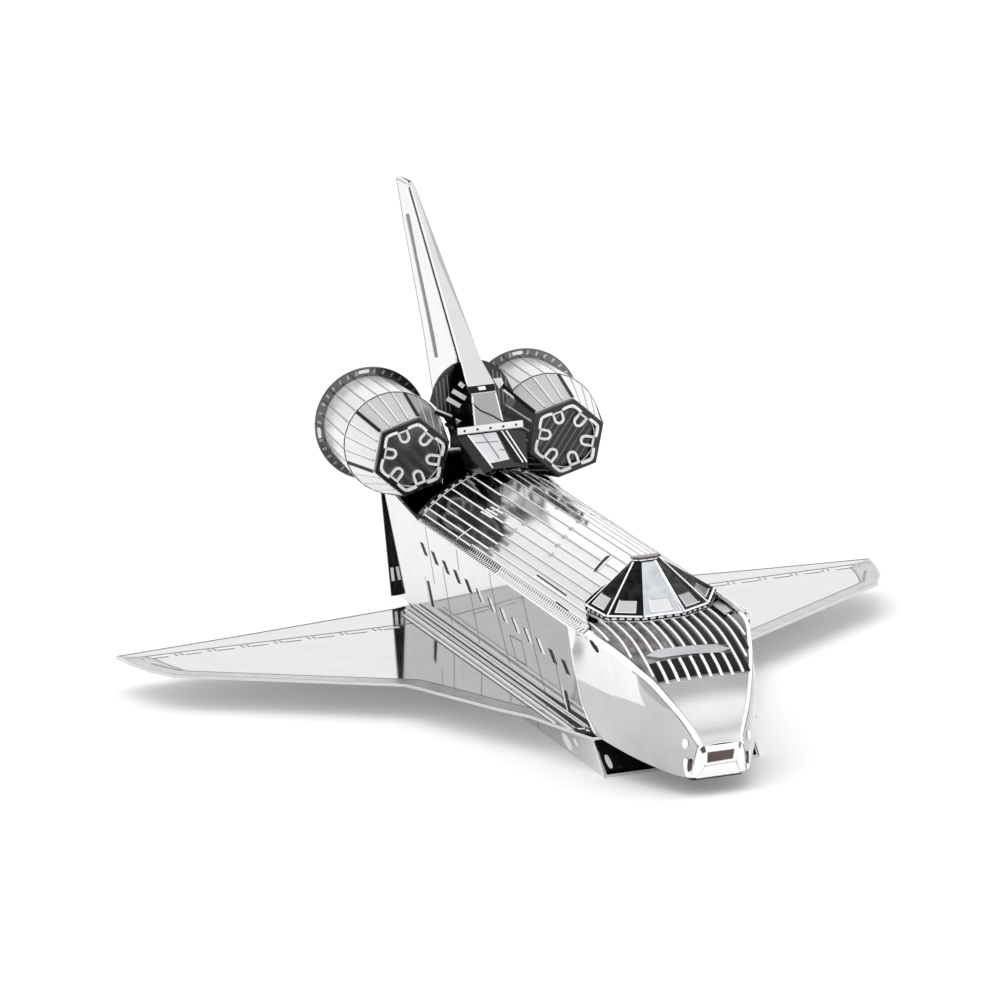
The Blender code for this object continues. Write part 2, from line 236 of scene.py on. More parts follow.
# the slot that a finish belongs to, where a piece names no other; addPiece looks the slot up but gives it to
# nothing
slotFinishes = {
    "dark_sheet": ("black", "grey", "line", "seam", "dusk", "shade", "umber", "pinkShade", "canopy"),
    "wall_sheet": ("veiled", "shell", "faint", "frost", "pale", "band", "mirror"),
    "bright_sheet": ("white", "litFacet"),
    "nozzle_sheet": ("satin",),
}
slotOf = {finish: slot for slot, finishes in slotFinishes.items() for finish in finishes}
print("materials made")


# both parameters of a surface as arrays of one shape
def spread(a, b):
    return np.broadcast_arrays(np.asarray(a, float), np.asarray(b, float))


# numbers and arrays side by side: the columns of points, or of a bar's two ends
def beside(*values):
    return np.stack(np.broadcast_arrays(*values), -1)


# points a share k of the way from one line of points to another
def between(a, b, k):
    k = np.asarray(k, float)[..., None]
    return a * (1 - k) + b * k


def unit(v):
    return v / np.maximum(np.linalg.norm(v, axis=-1, keepdims=True), 1e-9)


def smoothStep(a, b, x):
    t = np.clip((np.asarray(x, float) - a) / (b - a), 0, 1)
    return t * t * (3 - 2 * t)


# normal of a surface: its step along the first parameter crossed with its step along the second
def normalsOf(surface, a, b, h=0.002):
    da = surface(a + h, b) - surface(a - h, b)
    db = surface(a, b + h) - surface(a, b - h)
    return unit(np.cross(da, db))


# quads between neighbouring points of a grid, the last column joined to the first when it wraps
def gridQuads(rows, columns, wrap=False):
    r, c = np.meshgrid(np.arange(rows - 1), np.arange(columns if wrap else columns - 1), indexing="ij")
    a, d = r * columns, (c + 1) % columns
    return beside(a + c, a + d, a + columns + d, a + columns + c).reshape(-1, 4)


# thick sheet: the outer face is the grid, the inner one lies a thickness below it, rims close the edges.
# Where the normals would point inwards the grid is turned, its columns in the other order
def sheetBody(outer, normals, thick, wrap=False, turned=False):
    if turned:
        outer, normals = outer[:, ::-1], normals[:, ::-1]
    rows, columns = outer.shape[:2]
    many = rows * columns
    points = np.concatenate([outer.reshape(-1, 3), (outer - normals * thick).reshape(-1, 3)])
    face = gridQuads(rows, columns, wrap)
    index = np.arange(many).reshape(rows, columns)
    if wrap:
        index = np.concatenate([index, index[:, :1]], axis=1)
    edges = [beside(index[0, :-1], index[0, 1:]), beside(index[-1, 1:], index[-1, :-1])]
    if not wrap:
        edges += [beside(index[:-1, -1], index[1:, -1]), beside(index[1:, 0], index[:-1, 0])]
    u, v = np.concatenate(edges).T
    return points, np.concatenate([face, face[:, ::-1] + many, beside(v, u, u + many, v + many)])


# bars: along each path runs a box, half its width to both sides (direction crossed with normal),
# high above the sheet and deep into it
def barBody(paths, normals, width, high, deep=0.03):
    across = unit(np.cross(np.gradient(paths, axis=1), normals))
    half = np.broadcast_to(np.asarray(width, float) / 2, paths.shape[:2])[..., None]
    up, down = normals * high, normals * deep
    ring = np.stack([paths - across * half + up, paths + across * half + up,
                     paths + across * half - down, paths - across * half - down], 2)
    m, n = paths.shape[:2]
    index = np.arange(m * n * 4).reshape(m, n, 4)
    turned = np.roll(index, -1, axis=2)
    sides = beside(index[:, :-1], turned[:, :-1], turned[:, 1:], index[:, 1:]).reshape(-1, 4)
    return ring.reshape(-1, 3), np.concatenate([sides, index[:, 0, ::-1], index[:, -1]])


# bars between pairs of points given in a surface's own two parameters
def barsOn(surface, ends, width, high=0.025, stations=2, deep=0.03, face=1.0):
    ends = np.asarray(ends, float)
    k = np.linspace(0, 1, stations)[None, :, None]
    a, b = np.moveaxis(ends[:, None, :2] * (1 - k) + ends[:, None, 2:] * k, -1, 0)
    width = np.asarray(width, float)
    width = width[:, None] if width.ndim == 1 else width
    return barBody(surface(a, b), face * normalsOf(surface, a, b), width, high, deep)


# ovals: bars whose width follows a half circle from end to end
def ovalsOn(surface, ends, width, high=0.03, deep=0.03, face=1.0):
    k = np.linspace(0.04, 0.96, 12)
    swell = np.sqrt(1 - (2 * k - 1) ** 2) * np.asarray(width, float).reshape(-1, 1)
    return barsOn(surface, ends, np.broadcast_to(swell, (len(ends), 12)), high, 12, deep, face)


# inlays: four-cornered plates by their corners in a surface's two parameters, high above it and deep into it
def inlaysOn(surface, corners, high=0.02, deep=0.03, face=1.0):
    a, b = np.moveaxis(np.asarray(corners, float).reshape(-1, 4, 2), -1, 0)
    points, normals = surface(a, b), face * normalsOf(surface, a, b)
    turn = np.cross(points[:, 2] - points[:, 0], points[:, 3] - points[:, 1])
    flip = (turn * normals[:, 0]).sum(-1) < 0
    points[flip], normals[flip] = points[flip][:, ::-1], normals[flip][:, ::-1]
    blocks = np.concatenate([points - normals * deep, points + normals * high], axis=1)
    box = np.array([(3, 2, 1, 0), (4, 5, 6, 7), (0, 1, 5, 4), (1, 2, 6, 5), (2, 3, 7, 6), (3, 0, 4, 7)])
    quads = np.arange(len(blocks))[:, None, None] * 8 + box
    return blocks.reshape(-1, 3), quads.reshape(-1, 4)


# every step from one point of a list to the next, as the two ends of a bar
def steps(*points):
    points = np.asarray(points, float)
    return np.concatenate([points[:-1], points[1:]], axis=1)


def joined(*bodies):
    start = np.cumsum([0] + [len(p) for p, q in bodies])
    return (np.concatenate([p for p, q in bodies]),
            np.concatenate([q + s for (p, q), s in zip(bodies, start)]))


# trims from a table. A row names the way, gives the points in the surface's two parameters, then the sizes:
# width, height, stations and depth of bars or of a line, width, height and depth of ovals, height and depth
# of plates
def trimsOn(surface, table, face=1.0):
    made = []
    for way, points, *sizes in table:
        if way == "line":
            points = steps(*points)
        make = {"plates": inlaysOn, "ovals": ovalsOn}.get(way, barsOn)
        made.append(make(surface, points, *sizes, face=face))
    return joined(*made)


# frame: loops of equal length, each joined to the next and the last to the first
def loopBody(loops):
    rows, columns = loops.shape[:2]
    r, c = np.meshgrid(np.arange(rows), np.arange(columns), indexing="ij")
    e, d = (r + 1) % rows, (c + 1) % columns
    quads = beside(r * columns + c, r * columns + d, e * columns + d, e * columns + c)
    return loops.reshape(-1, 3), quads.reshape(-1, 4)


# flat sheet: a point is the origin plus a along one direction and b along the other
def onPlane(origin, across, up):
    origin, across, up = (np.asarray(v, float) for v in (origin, across, up))

    def surface(a, b):
        a, b = spread(a, b)
        return origin + a[..., None] * across + b[..., None] * up

    return surface


# level sheet at a height, its first parameter running outwards to one side
def onDeck(level, side=1):
    return onPlane((0, 0, level), (side, 0, 0), (0, 1, 0))


# sheet that stands across the model at a station y
def onCross(y, side=1):
    return onPlane((0, y, 0), (side, 0, 0), (0, 0, 1))


# a piece from points and quads; a sheet's tones are given for its outer face and repeat for the inner one
def addPiece(name, body, finish, stands=(), slot=None, smooth=False, tone=None, dotted=None):
    points, quads = body
    mesh = bpy.data.meshes.new(name)
    mesh.vertices.add(len(points))
    mesh.vertices.foreach_set("co", home(points).astype(np.float32).ravel())
    mesh.loops.add(quads.size)
    mesh.loops.foreach_set("vertex_index", quads.astype(np.int32).ravel())
    mesh.polygons.add(len(quads))
    mesh.polygons.foreach_set("loop_start", np.arange(0, quads.size, 4, dtype=np.int32))
    mesh.polygons.foreach_set("use_smooth", np.full(len(quads), smooth))
    mesh.update(calc_edges=True)
    for called, values in (("tone", tone), ("dotted", dotted)):
        if values is not None:
            layer = mesh.attributes.new(called, "FLOAT", "POINT")
            layer.data.foreach_set("value", np.resize(np.asarray(values, np.float32), len(points)))
    mesh.materials.append(steels[finish])
    piece = bpy.data.objects.new(name, mesh)
    bpy.context.scene.collection.objects.link(piece)
    slot = slot or slotOf[finish]
    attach(piece, "root")
    if stands:
        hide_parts(*stands)
    print(name, len(quads), "faces")


# a piece made of trims alone, from one or more surfaces with their tables and, where it isn't 1, their face
def addTrims(name, finish, *parts, slot=None):
    addPiece(name, joined(*(trimsOn(*part) for part in parts)), finish, slot=slot)


def bothSides(make, settings):
    for side, label in ((-1, "Starboard"), (1, "Port")):
        make(side, label, settings)


# CAD sheets that stay as they are get their own steel; shade and dusk paint dark reflections and shade on the
# pods' faces, deck, tail wall, nose floor, dome and neck ramp, and white paints highlights on the nose tip
# and deck edge
plainSheets = {
    "wing": ("wing_plate",),
    "mirror": ("side_wall_port", "side_wall_starboard", "root_strip_port", "root_strip_starboard",
               "fin_edge", "fin_skin_port", "fin_skin_starboard", "belly_tray"),
    "white": ("nose_tip", "deck_edge"),
    "shade": ("aft_deck", "pod_face_port", "tail_wall", "nose_floor", "dome_wall", "neck_ramp"),
    "dusk": ("pod_face_starboard",),
    "umber": ("canopy_cap",),
    "nozzle": ("engine_bell_1", "engine_bell_2", "engine_bell_3"),
}
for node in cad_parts.values():
    node.data.materials.clear()
    node.data.materials.append(steels["mirror"])
for finish, names in plainSheets.items():
    for name in names:
        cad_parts[name].data.materials[0] = steels[finish]
print("sheets dressed")


# Bay roof: flat strips on a shallow pointed arch. Across, an angle runs evenly and the share u of the half
# width is its sine; the height is mostly an arc of a circle, partly a straight gable. Half width and foot
# height fall off evenly from the rear to the front
roof = {
    "rear": 38.3, "front": -4.1, "slant": 3.9, "slantFrom": 0.8, "strips": 18, "spread": 0.86, "rise": 3.06,
    "sheet": 0.2, "half": (5.68, 5.23), "foot": (7.52, 6.86), "sizedAt": (36.7, -6.0), "arcShare": 0.65,
    "lift": 0.06, "shares": (0.0, 0.07, 0.5, 0.93), "groove": 0.03, "rows": 160,
    "darkLow": 0.02, "darkFade": 0.5, "darkBow": 0.9,
    "darkAt": (-0.95, -0.94, -0.86, -0.77, -0.62, -0.48, -0.32, -0.25, -0.09, 0.07, 0.3),
    "darkFrom": (22.5, 19.0, 18.5, 17.5, 19.4, 24.4, 26.6, 30.0, 30.3, 31.7, 33.5),
    "lightAt": (-1.0, -0.4, 0.5, 1.0), "light": (1.18, 1.14, 1.06, 1.0),
}
roofTurn = math.pi / 2 * roof["spread"]
roofKnots = np.sin(np.linspace(-1, 1, roof["strips"] + 1) * roofTurn) / math.sin(roofTurn)


def roofSize(y):
    (rear, front), (wide, narrow), (high, low) = roof["sizedAt"], roof["half"], roof["foot"]
    k = (rear - y) / (rear - front)
    return wide - (wide - narrow) * k, high - (high - low) * k


def roofArch(u, y):
    half, base = roofSize(y)
    rise, share = roof["rise"], roof["arcShare"]
    radius = (half * half + rise * rise) / (2 * rise)
    arc = (np.sqrt(radius ** 2 - (half * u) ** 2) - (radius - rise)) / rise
    return base + rise * (share * arc + (1 - share) * (1 - np.abs(u))) + roof["lift"]


def onRoof(u, y):
    u, y = spread(u, y)
    i = np.clip(np.searchsorted(roofKnots, u) - 1, 0, roof["strips"] - 1)
    a, b = roofKnots[i], roofKnots[i + 1]
    f = (u - a) / (b - a)
    z = roofArch(a, y) * (1 - f) + roofArch(b, y) * f
    return beside(roofSize(y)[0] * u, y, z + sheetHalf)


# the roof's front end: level across the middle, slanting forward over the outer part of each side
def roofFront(u):
    outer = np.maximum(np.abs(u) - roof["slantFrom"], 0) / (1 - roof["slantFrom"])
    return roof["front"] - roof["slant"] * outer


# where the painted dark reflection over the rear part ends: interpolated over u, and further forward down the
# middle of a strip (f = 0.5)
def roofDarkReflectionFront(u, f=0.0):
    return np.interp(u, roof["darkAt"], roof["darkFrom"]) + roof["darkBow"] * (2 * np.abs(2 * f - 1) - 1)


def makeRoof(r):
    shares = np.array(r["shares"])
    u = np.append((roofKnots[:-1, None] + np.diff(roofKnots)[:, None] * shares).ravel(), 1.0)
    f = np.append(np.tile(shares, r["strips"]), 0.0)
    low = np.append(np.tile([1.0, 0, 0, 0], r["strips"]), 1.0)
    low[[0, -1]] = 0.0
    k = np.linspace(0, 1, r["rows"])[:, None]
    y = roofFront(u) * (1 - k) + r["rear"] * k
    u = np.broadcast_to(u, y.shape)
    normals = normalsOf(onRoof, np.clip(u, -0.997, 0.997), y)
    top = onRoof(u, y) - normals * (low * r["groove"])[None, :, None]
    # painted reflection: the rear is painted dark where the roof mirrors the dark tail, and the front is
    # painted lighter towards negative x, where it mirrors the dimmer side of the room
    dark = smoothStep(-r["darkFade"], r["darkFade"], y - roofDarkReflectionFront(u, f))
    # the tone differs a little from strip to strip, and painted pale reflections wander along the dark ones
    strip = 0.5 + 0.5 * np.sin(u * 61.0 + 1.0)
    streak = smoothStep(0.55, 1.0, np.sin(y * 0.9 + u * 23.0) * np.sin(u * 37.0 + 0.5) + 0.15)
    light = np.interp(u, r["lightAt"], r["light"]) - 0.06 * strip
    tone = light * (1 - dark) + dark * (r["darkLow"] + 0.02 * strip + 0.12 * streak)
    addPiece("roofStrips", sheetBody(top, normals, r["sheet"]), "veiled", ["bay_roof"], tone=tone)


makeRoof(roof)

# Lines on the roof: seams, etched in front with painted glints beside them and painted white as highlights
# over the dark rear; pairs of ticks, grooves, and the bow, the margin and a slot
roofLines = {
    "seamEnd": 36.7, "seamGap": 0.3, "seamWide": 0.06, "glintOver": 0.016, "glintWide": 0.05,
    "lineHigh": 0.015, "whiteWide": 0.12, "tickY": 18.4, "tickOver": 0.022, "tickLong": 0.6, "tickWide": 0.08,
    "slantTicks": (-0.65, 7.9, 0.3, 14.9), "marginY": 37.35, "marginEnds": (-0.93, 0.4), "marginMany": 15,
    "marginLong": 0.04, "marginWide": 0.3,
    "portLine": [("bars", [(0.39, 32.5, 0.58, 22.6)], 0.14, 0.02, 16)],
    "white": [("bars", [(-0.97, 36.9, 0.97, 36.9)], 0.17, 0.025, 72),
              ("line", [(-0.18, 37.1), (-0.10, 35.1), (-0.03, 35.6)], 0.12, 0.025, 6),
              ("bars", [(-0.975, 26.9, -0.803, 25.95), (-0.60, 26.4, -0.45, 25.4), (-0.61, 27.5, -0.60, 24.6),
                        (-0.55, 27.2, -0.54, 24.2), (-0.50, 26.9, -0.485, 23.9)], 0.13, 0.025, 6),
              ("bars", [(-0.447, -0.3, -0.196, 1.2)], 0.66, 0.06, 12),
              ("bars", [(-0.868, 7.6, -0.812, 7.6), (-0.875, -0.5, -0.82, -0.5), (-0.862, 7.5, -0.870, -0.3)],
               0.08, 0.02)],
    "black": [("bars", [(-0.447, -0.3, -0.196, 1.2)], 0.36, 0.085, 12),
              ("bars", [(-0.840, 7.5, -0.847, -0.3), (-0.945, 0.6, -0.95, -2.6)], 0.1, 0.02)],
}


def makeRoofLines(r):
    seams = roofKnots[1:-1]
    lit = seams + r["glintOver"]
    dark, front = roofDarkReflectionFront(seams), roofFront(seams) + r["seamGap"]
    grey = barsOn(onRoof, beside(seams, front, seams, dark), r["seamWide"], r["lineHigh"])
    glints = barsOn(onRoof, beside(lit, front, lit, dark), r["glintWide"], r["lineHigh"])
    white = barsOn(onRoof, beside(seams, dark, seams, r["seamEnd"]), r["whiteWide"])
    # one pair of ticks on each seam in a row across the roof, and one in a slanting row over the middle
    u0, y0, u1, y1 = r["slantTicks"]
    slanted = seams[(seams > u0) & (seams < u1)]
    u = np.concatenate([seams, slanted])
    y = np.concatenate([0 * seams + r["tickY"], y0 + (y1 - y0) * (slanted - u0) / (u1 - u0)])
    pairs = [beside(u + over, y, u + over, y + r["tickLong"]) for over in (-r["tickOver"], r["tickOver"])]
    ticks = barsOn(onRoof, np.concatenate(pairs), r["tickWide"])
    u, y = np.linspace(*r["marginEnds"], r["marginMany"]), r["marginY"]
    margin = barsOn(onRoof, beside(u, y, u + r["marginLong"], y), r["marginWide"])
    addPiece("roofSeams", joined(grey, ticks, trimsOn(onRoof, r["portLine"])), "seam")
    addPiece("roofGlints", joined(glints, white, margin, trimsOn(onRoof, r["white"])), "white")
    addTrims("roofSlots", "black", (onRoof, r["black"]))


makeRoofLines(roofLines)

# the side walls' outer faces lean out evenly from the foot up
wallFoot, wallLean, wallScale = 5.29, 0.0634, 0.998

# Fold strip: closes the bend from the wall's top to the roof's edge on each side and carries its
# perforations. It runs from wall to roof in straight lines; in front both ends draw in to the nose
foldStrip = {
    "front": -8.6, "rear": 37.9, "rows": 60, "sheet": 0.1, "lowAt": (-8.6, -6.7, 0.0, 37.1),
    "low": (6.7, 6.88, 6.95, 7.4), "over": 0.02, "footAt": (-8.6, -6.5), "foot": (5.28, 5.76),
    "headAt": (-8.6, -7.0), "head": (4.93, 5.2), "headUp": 0.2,
    "pitch": 0.54, "firstTick": 1.2, "lastTick": 0.5, "tickWide": 0.2, "darkWide": 0.12, "lightFrom": 15.0,
    "onRoof": (0.995, 0.955), "gapAt": 0.975, "gapY": (-0.27, -0.07),
}


def onFold(side):
    f = foldStrip

    def surface(across, y):
        across, y = spread(across, y)
        low = np.interp(y, f["lowAt"], f["low"]) + f["over"]
        half, base = roofSize(y)
        leant = wallFoot + f["over"] + wallLean * low
        foot, head = np.interp(y, f["footAt"], f["foot"]), np.interp(y, f["headAt"], f["head"])
        wall = beside(np.minimum(leant, foot), y, low)
        edge = beside(np.minimum(half - f["over"], head), y, base + f["headUp"])
        return between(wall, edge, across) * (side, 1, 1)

    return surface


def makeFold(side, label, f):
    surface = onFold(side)
    across, y = np.meshgrid(np.linspace(0, 1, 3), np.linspace(f["front"], f["rear"], f["rows"]))
    body = sheetBody(surface(across, y), -side * normalsOf(surface, across, y), f["sheet"], turned=side > 0)
    addPiece("foldStrip" + label, body, "white", slot="wall_sheet")
    # ticks run over the strip and on over the roof's edge: dark ones at the rear and white ones in front,
    # painted shade and painted highlights
    y = np.arange(f["rear"] - f["firstTick"], f["front"] + f["lastTick"], -f["pitch"])
    light = y < f["lightFrom"]
    ticks = beside(0.1, y, 1.0, y)
    overs = beside(side * f["onRoof"][0], y, side * f["onRoof"][1], y)
    dark = joined(barsOn(surface, ticks[~light], f["darkWide"], 0.04, face=-side),
                  barsOn(onRoof, overs[~light], f["darkWide"], 0.03))
    edge = barsOn(surface, [(0.0, f["front"], 0.0, f["rear"])], 0.1, 0.03, 12, face=-side)
    white = joined(barsOn(surface, ticks[light], f["tickWide"], 0.05, face=-side),
                   barsOn(onRoof, overs[light], f["tickWide"], 0.04), edge)
    at = side * f["gapAt"]
    onEdge = beside(at, y + f["gapY"][0], at, y + f["gapY"][1])[light & (y > roof["front"] - 2)]
    halfWay = ticks[light] - (0, f["pitch"] / 2, 0, f["pitch"] / 2)
    gaps = joined(barsOn(surface, halfWay, 0.12, 0.03, face=-side), barsOn(onRoof, onEdge, 0.2, 0.015))
    addPiece("foldDark" + label, dark, "black")
    addPiece("foldWhite" + label, white, "white")
    addPiece("foldGaps" + label, gaps, "grey")


bothSides(makeFold, foldStrip)

# Pods: six flat leaves from a hexagon to a round of 24 facets, then a barrel that narrows a little.
# A point lies at a share t of the length and at an angle turned from straight up towards port
pod = {
    "frontR": 2.89, "midR": 3.78, "rearR": 3.55, "mid": 0.42, "facets": 24, "turn": 0.26, "length": 12.75,
    "front": (5.71, 38.0, 12.0), "rear": (5.81, 50.75, 12.76), "groove": 0.05, "sheet": 0.2,
    "shares": (0.0, 0.08, 0.5, 0.92),
    "stations": (0.02, 0.06, 0.12, 0.2, 0.3, 0.38, 0.415, 0.43, 0.5, 0.6, 0.7, 0.8, 0.9, 0.99),
    # sections of the rings: radius, and depth behind the front or behind the rear end
    "frame": [(2.41, -0.10), (2.85, -0.10), (2.89, -0.06), (2.89, 0.06), (2.41, 0.06)],
    "flange": [(3.07, -0.07), (4.15, -0.07), (4.21, 0), (4.21, 0.09), (4.12, 0.11), (3.07, 0.11)],
    "leafTones": {-1: (0.5, 0.35, 1, 1, 1, 0.8), 1: (1, 1, 1, 0.16, 0.16, 0.76)},
    "barrelTones": {-1: (0.85, 0.5, 1, 1, 1, 1), 1: (1, 1, 1, 0.2, 0.3, 0.94)},
}
# lines on every facet: facet and share of the length at both ends, width, height
podLines = {
    "barrel": (0, 0.45, 0, 0.97, 0.06, 0.015), "leaf": (0, 0.04, 0, 0.40, 0.08, 0.015),
    "slit": (0, 0.035, 0, 0.40, 0.26, 0.025), "edge": (0.02, 0.412, 0.98, 0.412, 0.07, 0.025),
    "lit": (0.1, 0.05, 0.07, 0.40, 0.07, 0.02), "dash": (0.2, 0.43, 0.8, 0.43, 0.24, 0.05),
}
podFront = {
    "line": (2.43, 0.2, 0.13), "tabGap": 0.19, "rim": (2.2, 0.07, 0.03), "lineDepth": -0.02, "rimDepth": 0.46,
    "slotR": 3.93, "slotTurn": (-0.16, 0.04), "teeth": 36, "toothTurn": (0.13, 0.15), "toothR": (3.75, 4.05),
    "tabArm": 0.32, "tabReach": (2.15, 1.50), "tabBend": 0.34, "tabDepth": 0.40, "tabSize": (0.17, 0.24, 0.0),
    "rootDepth": 0.1, "rootR": 2.06, "rootArm": 0.36, "rootSize": (0.24, 0.12),
    "stripes": 9, "stripeEnd": 1.7, "stripeR": 2.1, "stripeShare": 0.9, "stripeDepth": 0.47,
}


def podEnds(side):
    return np.array([pod["front"], pod["rear"]]) * (side, 1, 1)


def podAxes(side):
    front, rear = podEnds(side)
    axis = unit(rear - front)
    east = unit(np.cross(axis, (0, 0, 1)))
    return front, axis, east, np.cross(east, axis)


# directions out from the pod's axis at angles a
def podOut(side, a):
    east, north = podAxes(side)[2:]
    a = np.asarray(a, float)[..., None]
    return np.sin(a) * east + np.cos(a) * north


# corner radius of facet i: on the hexagon in front, blending evenly to the round at the middle
def podRadius(i, t):
    a = (2 * math.pi * i / pod["facets"]) % (math.pi / 3)
    hexagon = pod["frontR"] * math.cos(math.pi / 6) / np.cos(a - math.pi / 6)
    leaf = np.clip(t / pod["mid"], 0, 1)
    barrel = np.clip((t - pod["mid"]) / (1 - pod["mid"]), 0, 1)
    return hexagon * (1 - leaf) + pod["midR"] * leaf + (pod["rearR"] - pod["midR"]) * barrel


def onPod(side):
    front, rear = podEnds(side)

    def surface(facet, t):
        facet, t = spread(facet, t)
        low = np.floor(facet)
        found = 0
        for corner, share in ((low, 1 - (facet - low)), (low + 1, facet - low)):
            out = podOut(side, pod["turn"] + 2 * math.pi * corner / pod["facets"])
            found = found + share[..., None] * podRadius(corner, t)[..., None] * out
        return front + (rear - front) * t[..., None] + found

    return surface


# flat rings and plates across the pod's axis: polar points about it at a depth behind the front
def acrossPod(side, depth):
    front, axis = podAxes(side)[:2]

    def surface(angle, radius):
        angle, radius = spread(angle, radius)
        return front + axis * depth + radius[..., None] * podOut(side, angle)

    return surface


# ring: a closed section (radius, depth) carried round the axis; the radius may follow a hexagon
def podRing(side, section, columns, hexagon=False):
    front, axis = podAxes(side)[:2]
    a = np.arange(columns) * 2 * math.pi / columns
    stretch = np.cos(math.pi / 6) / np.cos(a % (math.pi / 3) - math.pi / 6) if hexagon else np.ones(columns)
    section = np.array(section, float)
    r = (section[:, :1] * stretch)[..., None]
    points = front + axis * section[:, 1][:, None, None] + r * podOut(side, a + pod["turn"])
    rows = len(section)
    quads = gridQuads(rows + 1, columns, wrap=True)
    last = quads >= rows * columns
    return points.reshape(-1, 3), np.where(last, quads - rows * columns, quads)


def makePod(side, label, p):
    surface = onPod(side)
    facet = (np.arange(p["facets"])[:, None] + np.array(p["shares"])).ravel()
    facet, t = spread(facet, np.array(p["stations"])[:, None])
    normals = normalsOf(surface, facet + 0.001, t)
    low = np.tile([1.0, 0, 0, 0], p["facets"])[None, :, None] * p["groove"]
    body = sheetBody(surface(facet, t) - normals * low, normals, p["sheet"], wrap=True)
    # painted shade: the leaves and the barrel facets on the inner side stand in each other's shade
    leaf = np.minimum(facet / 4, 5).astype(int)
    onLeaf, onBarrel = (np.array(p[name][side])[leaf] for name in ("leafTones", "barrelTones"))
    tone = np.where(t < p["mid"], onLeaf, onBarrel) * (0.96 + 0.04 * np.sin(facet * 2.2 + side))
    addPiece("podShell" + label, body, "shell", ["pod_shell_" + label.lower()], tone=tone)
    makePodTrims(side, label, podFront)


def makePodTrims(side, label, f):
    surface = onPod(side)
    front, axis, east, north = podAxes(side)
    i = np.arange(pod["facets"])
    drawn = {}
    for name, (a, t0, b, t1, width, high) in podLines.items():
        # slits part the six leaves, and thin lines crease them between
        each = {"slit": i[i % 4 == 0], "leaf": i[i % 4 != 0]}.get(name, i)
        drawn[name] = barsOn(surface, beside(each + a, t0, each + b, t1), width, high)
    # white slots and grey teeth on the front of the flange
    flange = acrossPod(side, pod["length"] + pod["flange"][0][1])
    s, (s0, s1) = np.arange(4) * math.pi / 2, f["slotTurn"]
    slots = barsOn(flange, beside(s + s0, f["slotR"], s + s1, f["slotR"]), 0.24, 0.02, 4)
    k, (k0, k1) = np.arange(f["teeth"]) * 2 * math.pi / f["teeth"], f["toothTurn"]
    teeth = barsOn(flange, beside(k + k0, f["toothR"][0], k + k1, f["toothR"][1]), 0.16, 0.015)
    # thick white line inside the frame, broken where the six tabs bend in, and a thin one inside it
    a = pod["turn"] + np.arange(6) * math.pi / 3
    b, m = a + math.pi / 3, a + math.pi / 6
    r, wide, high = f["line"]
    near, gap = r * math.cos(math.pi / 6) / math.cos(f["tabGap"]), f["tabGap"]
    sides = np.concatenate([beside(a, r, m - gap, near), beside(m + gap, near, b, r)])
    outline = barsOn(acrossPod(side, f["lineDepth"]), sides, wide, high, 8)
    r, wide, high = f["rim"]
    rim = barsOn(acrossPod(side, f["rimDepth"]), beside(a, r, b, r), wide, high, 8)
    # six tabs: up one side, half a turn round the end and down the other
    bend = np.linspace(0, math.pi, 11)
    arm = np.concatenate([[f["tabArm"]], f["tabArm"] * np.cos(bend), [-f["tabArm"]]])[None, :, None]
    foot, end = f["tabReach"]
    reach = np.concatenate([[foot], end - f["tabBend"] * np.sin(bend), [foot]])[None, :, None]
    out = podOut(side, m)[:, None]
    sideways = np.cross(axis, out)
    tabs = front + axis * f["tabDepth"] + out * reach + sideways * arm
    hooks = barBody(tabs, np.broadcast_to(-axis, tabs.shape), *f["tabSize"])
    ends = np.array([-f["rootArm"], f["rootArm"]])[None, :, None]
    roots = front + axis * f["rootDepth"] + out * f["rootR"] + sideways * ends
    roots = barBody(roots, np.broadcast_to(-axis, roots.shape), *f["rootSize"])
    # faint slanting stripes on the plate set back in the frame
    k = np.linspace(-f["stripeEnd"], f["stripeEnd"], f["stripes"])
    reach = np.sqrt(f["stripeR"] ** 2 - k ** 2) * f["stripeShare"]
    plate = onPlane(front + axis * f["stripeDepth"], east * 0.8 - north * 0.6, east * 0.6 + north * 0.8)
    stripes = barsOn(plate, beside(k, -reach, k, reach), 0.1, 0.01)
    addPiece("podSeams" + label, joined(drawn["barrel"], drawn["leaf"]), "seam")
    addPiece("podSlits" + label, joined(drawn["slit"], drawn["edge"]), "black")
    ring, word = [(r, pod["length"] + depth) for r, depth in pod["flange"]], label.lower()
    # the frame is painted dark and the flange dim: reflections of the dark room in front
    addPiece("podFrame" + label, podRing(side, pod["frame"], 60, True), "shade", ["pod_front_" + word])
    addPiece("podFlange" + label, podRing(side, ring, 96), "dusk", ["pod_ring_" + word])
    glints = joined(drawn["dash"], slots, outline, rim, hooks, roots, drawn["lit"])
    addPiece("podGlints" + label, glints, "white")
    addPiece("podTeeth" + label, teeth, "faint")
    addPiece("podStripes" + label, stripes, "dusk" if side < 0 else "line")


bothSides(makePod, pod)

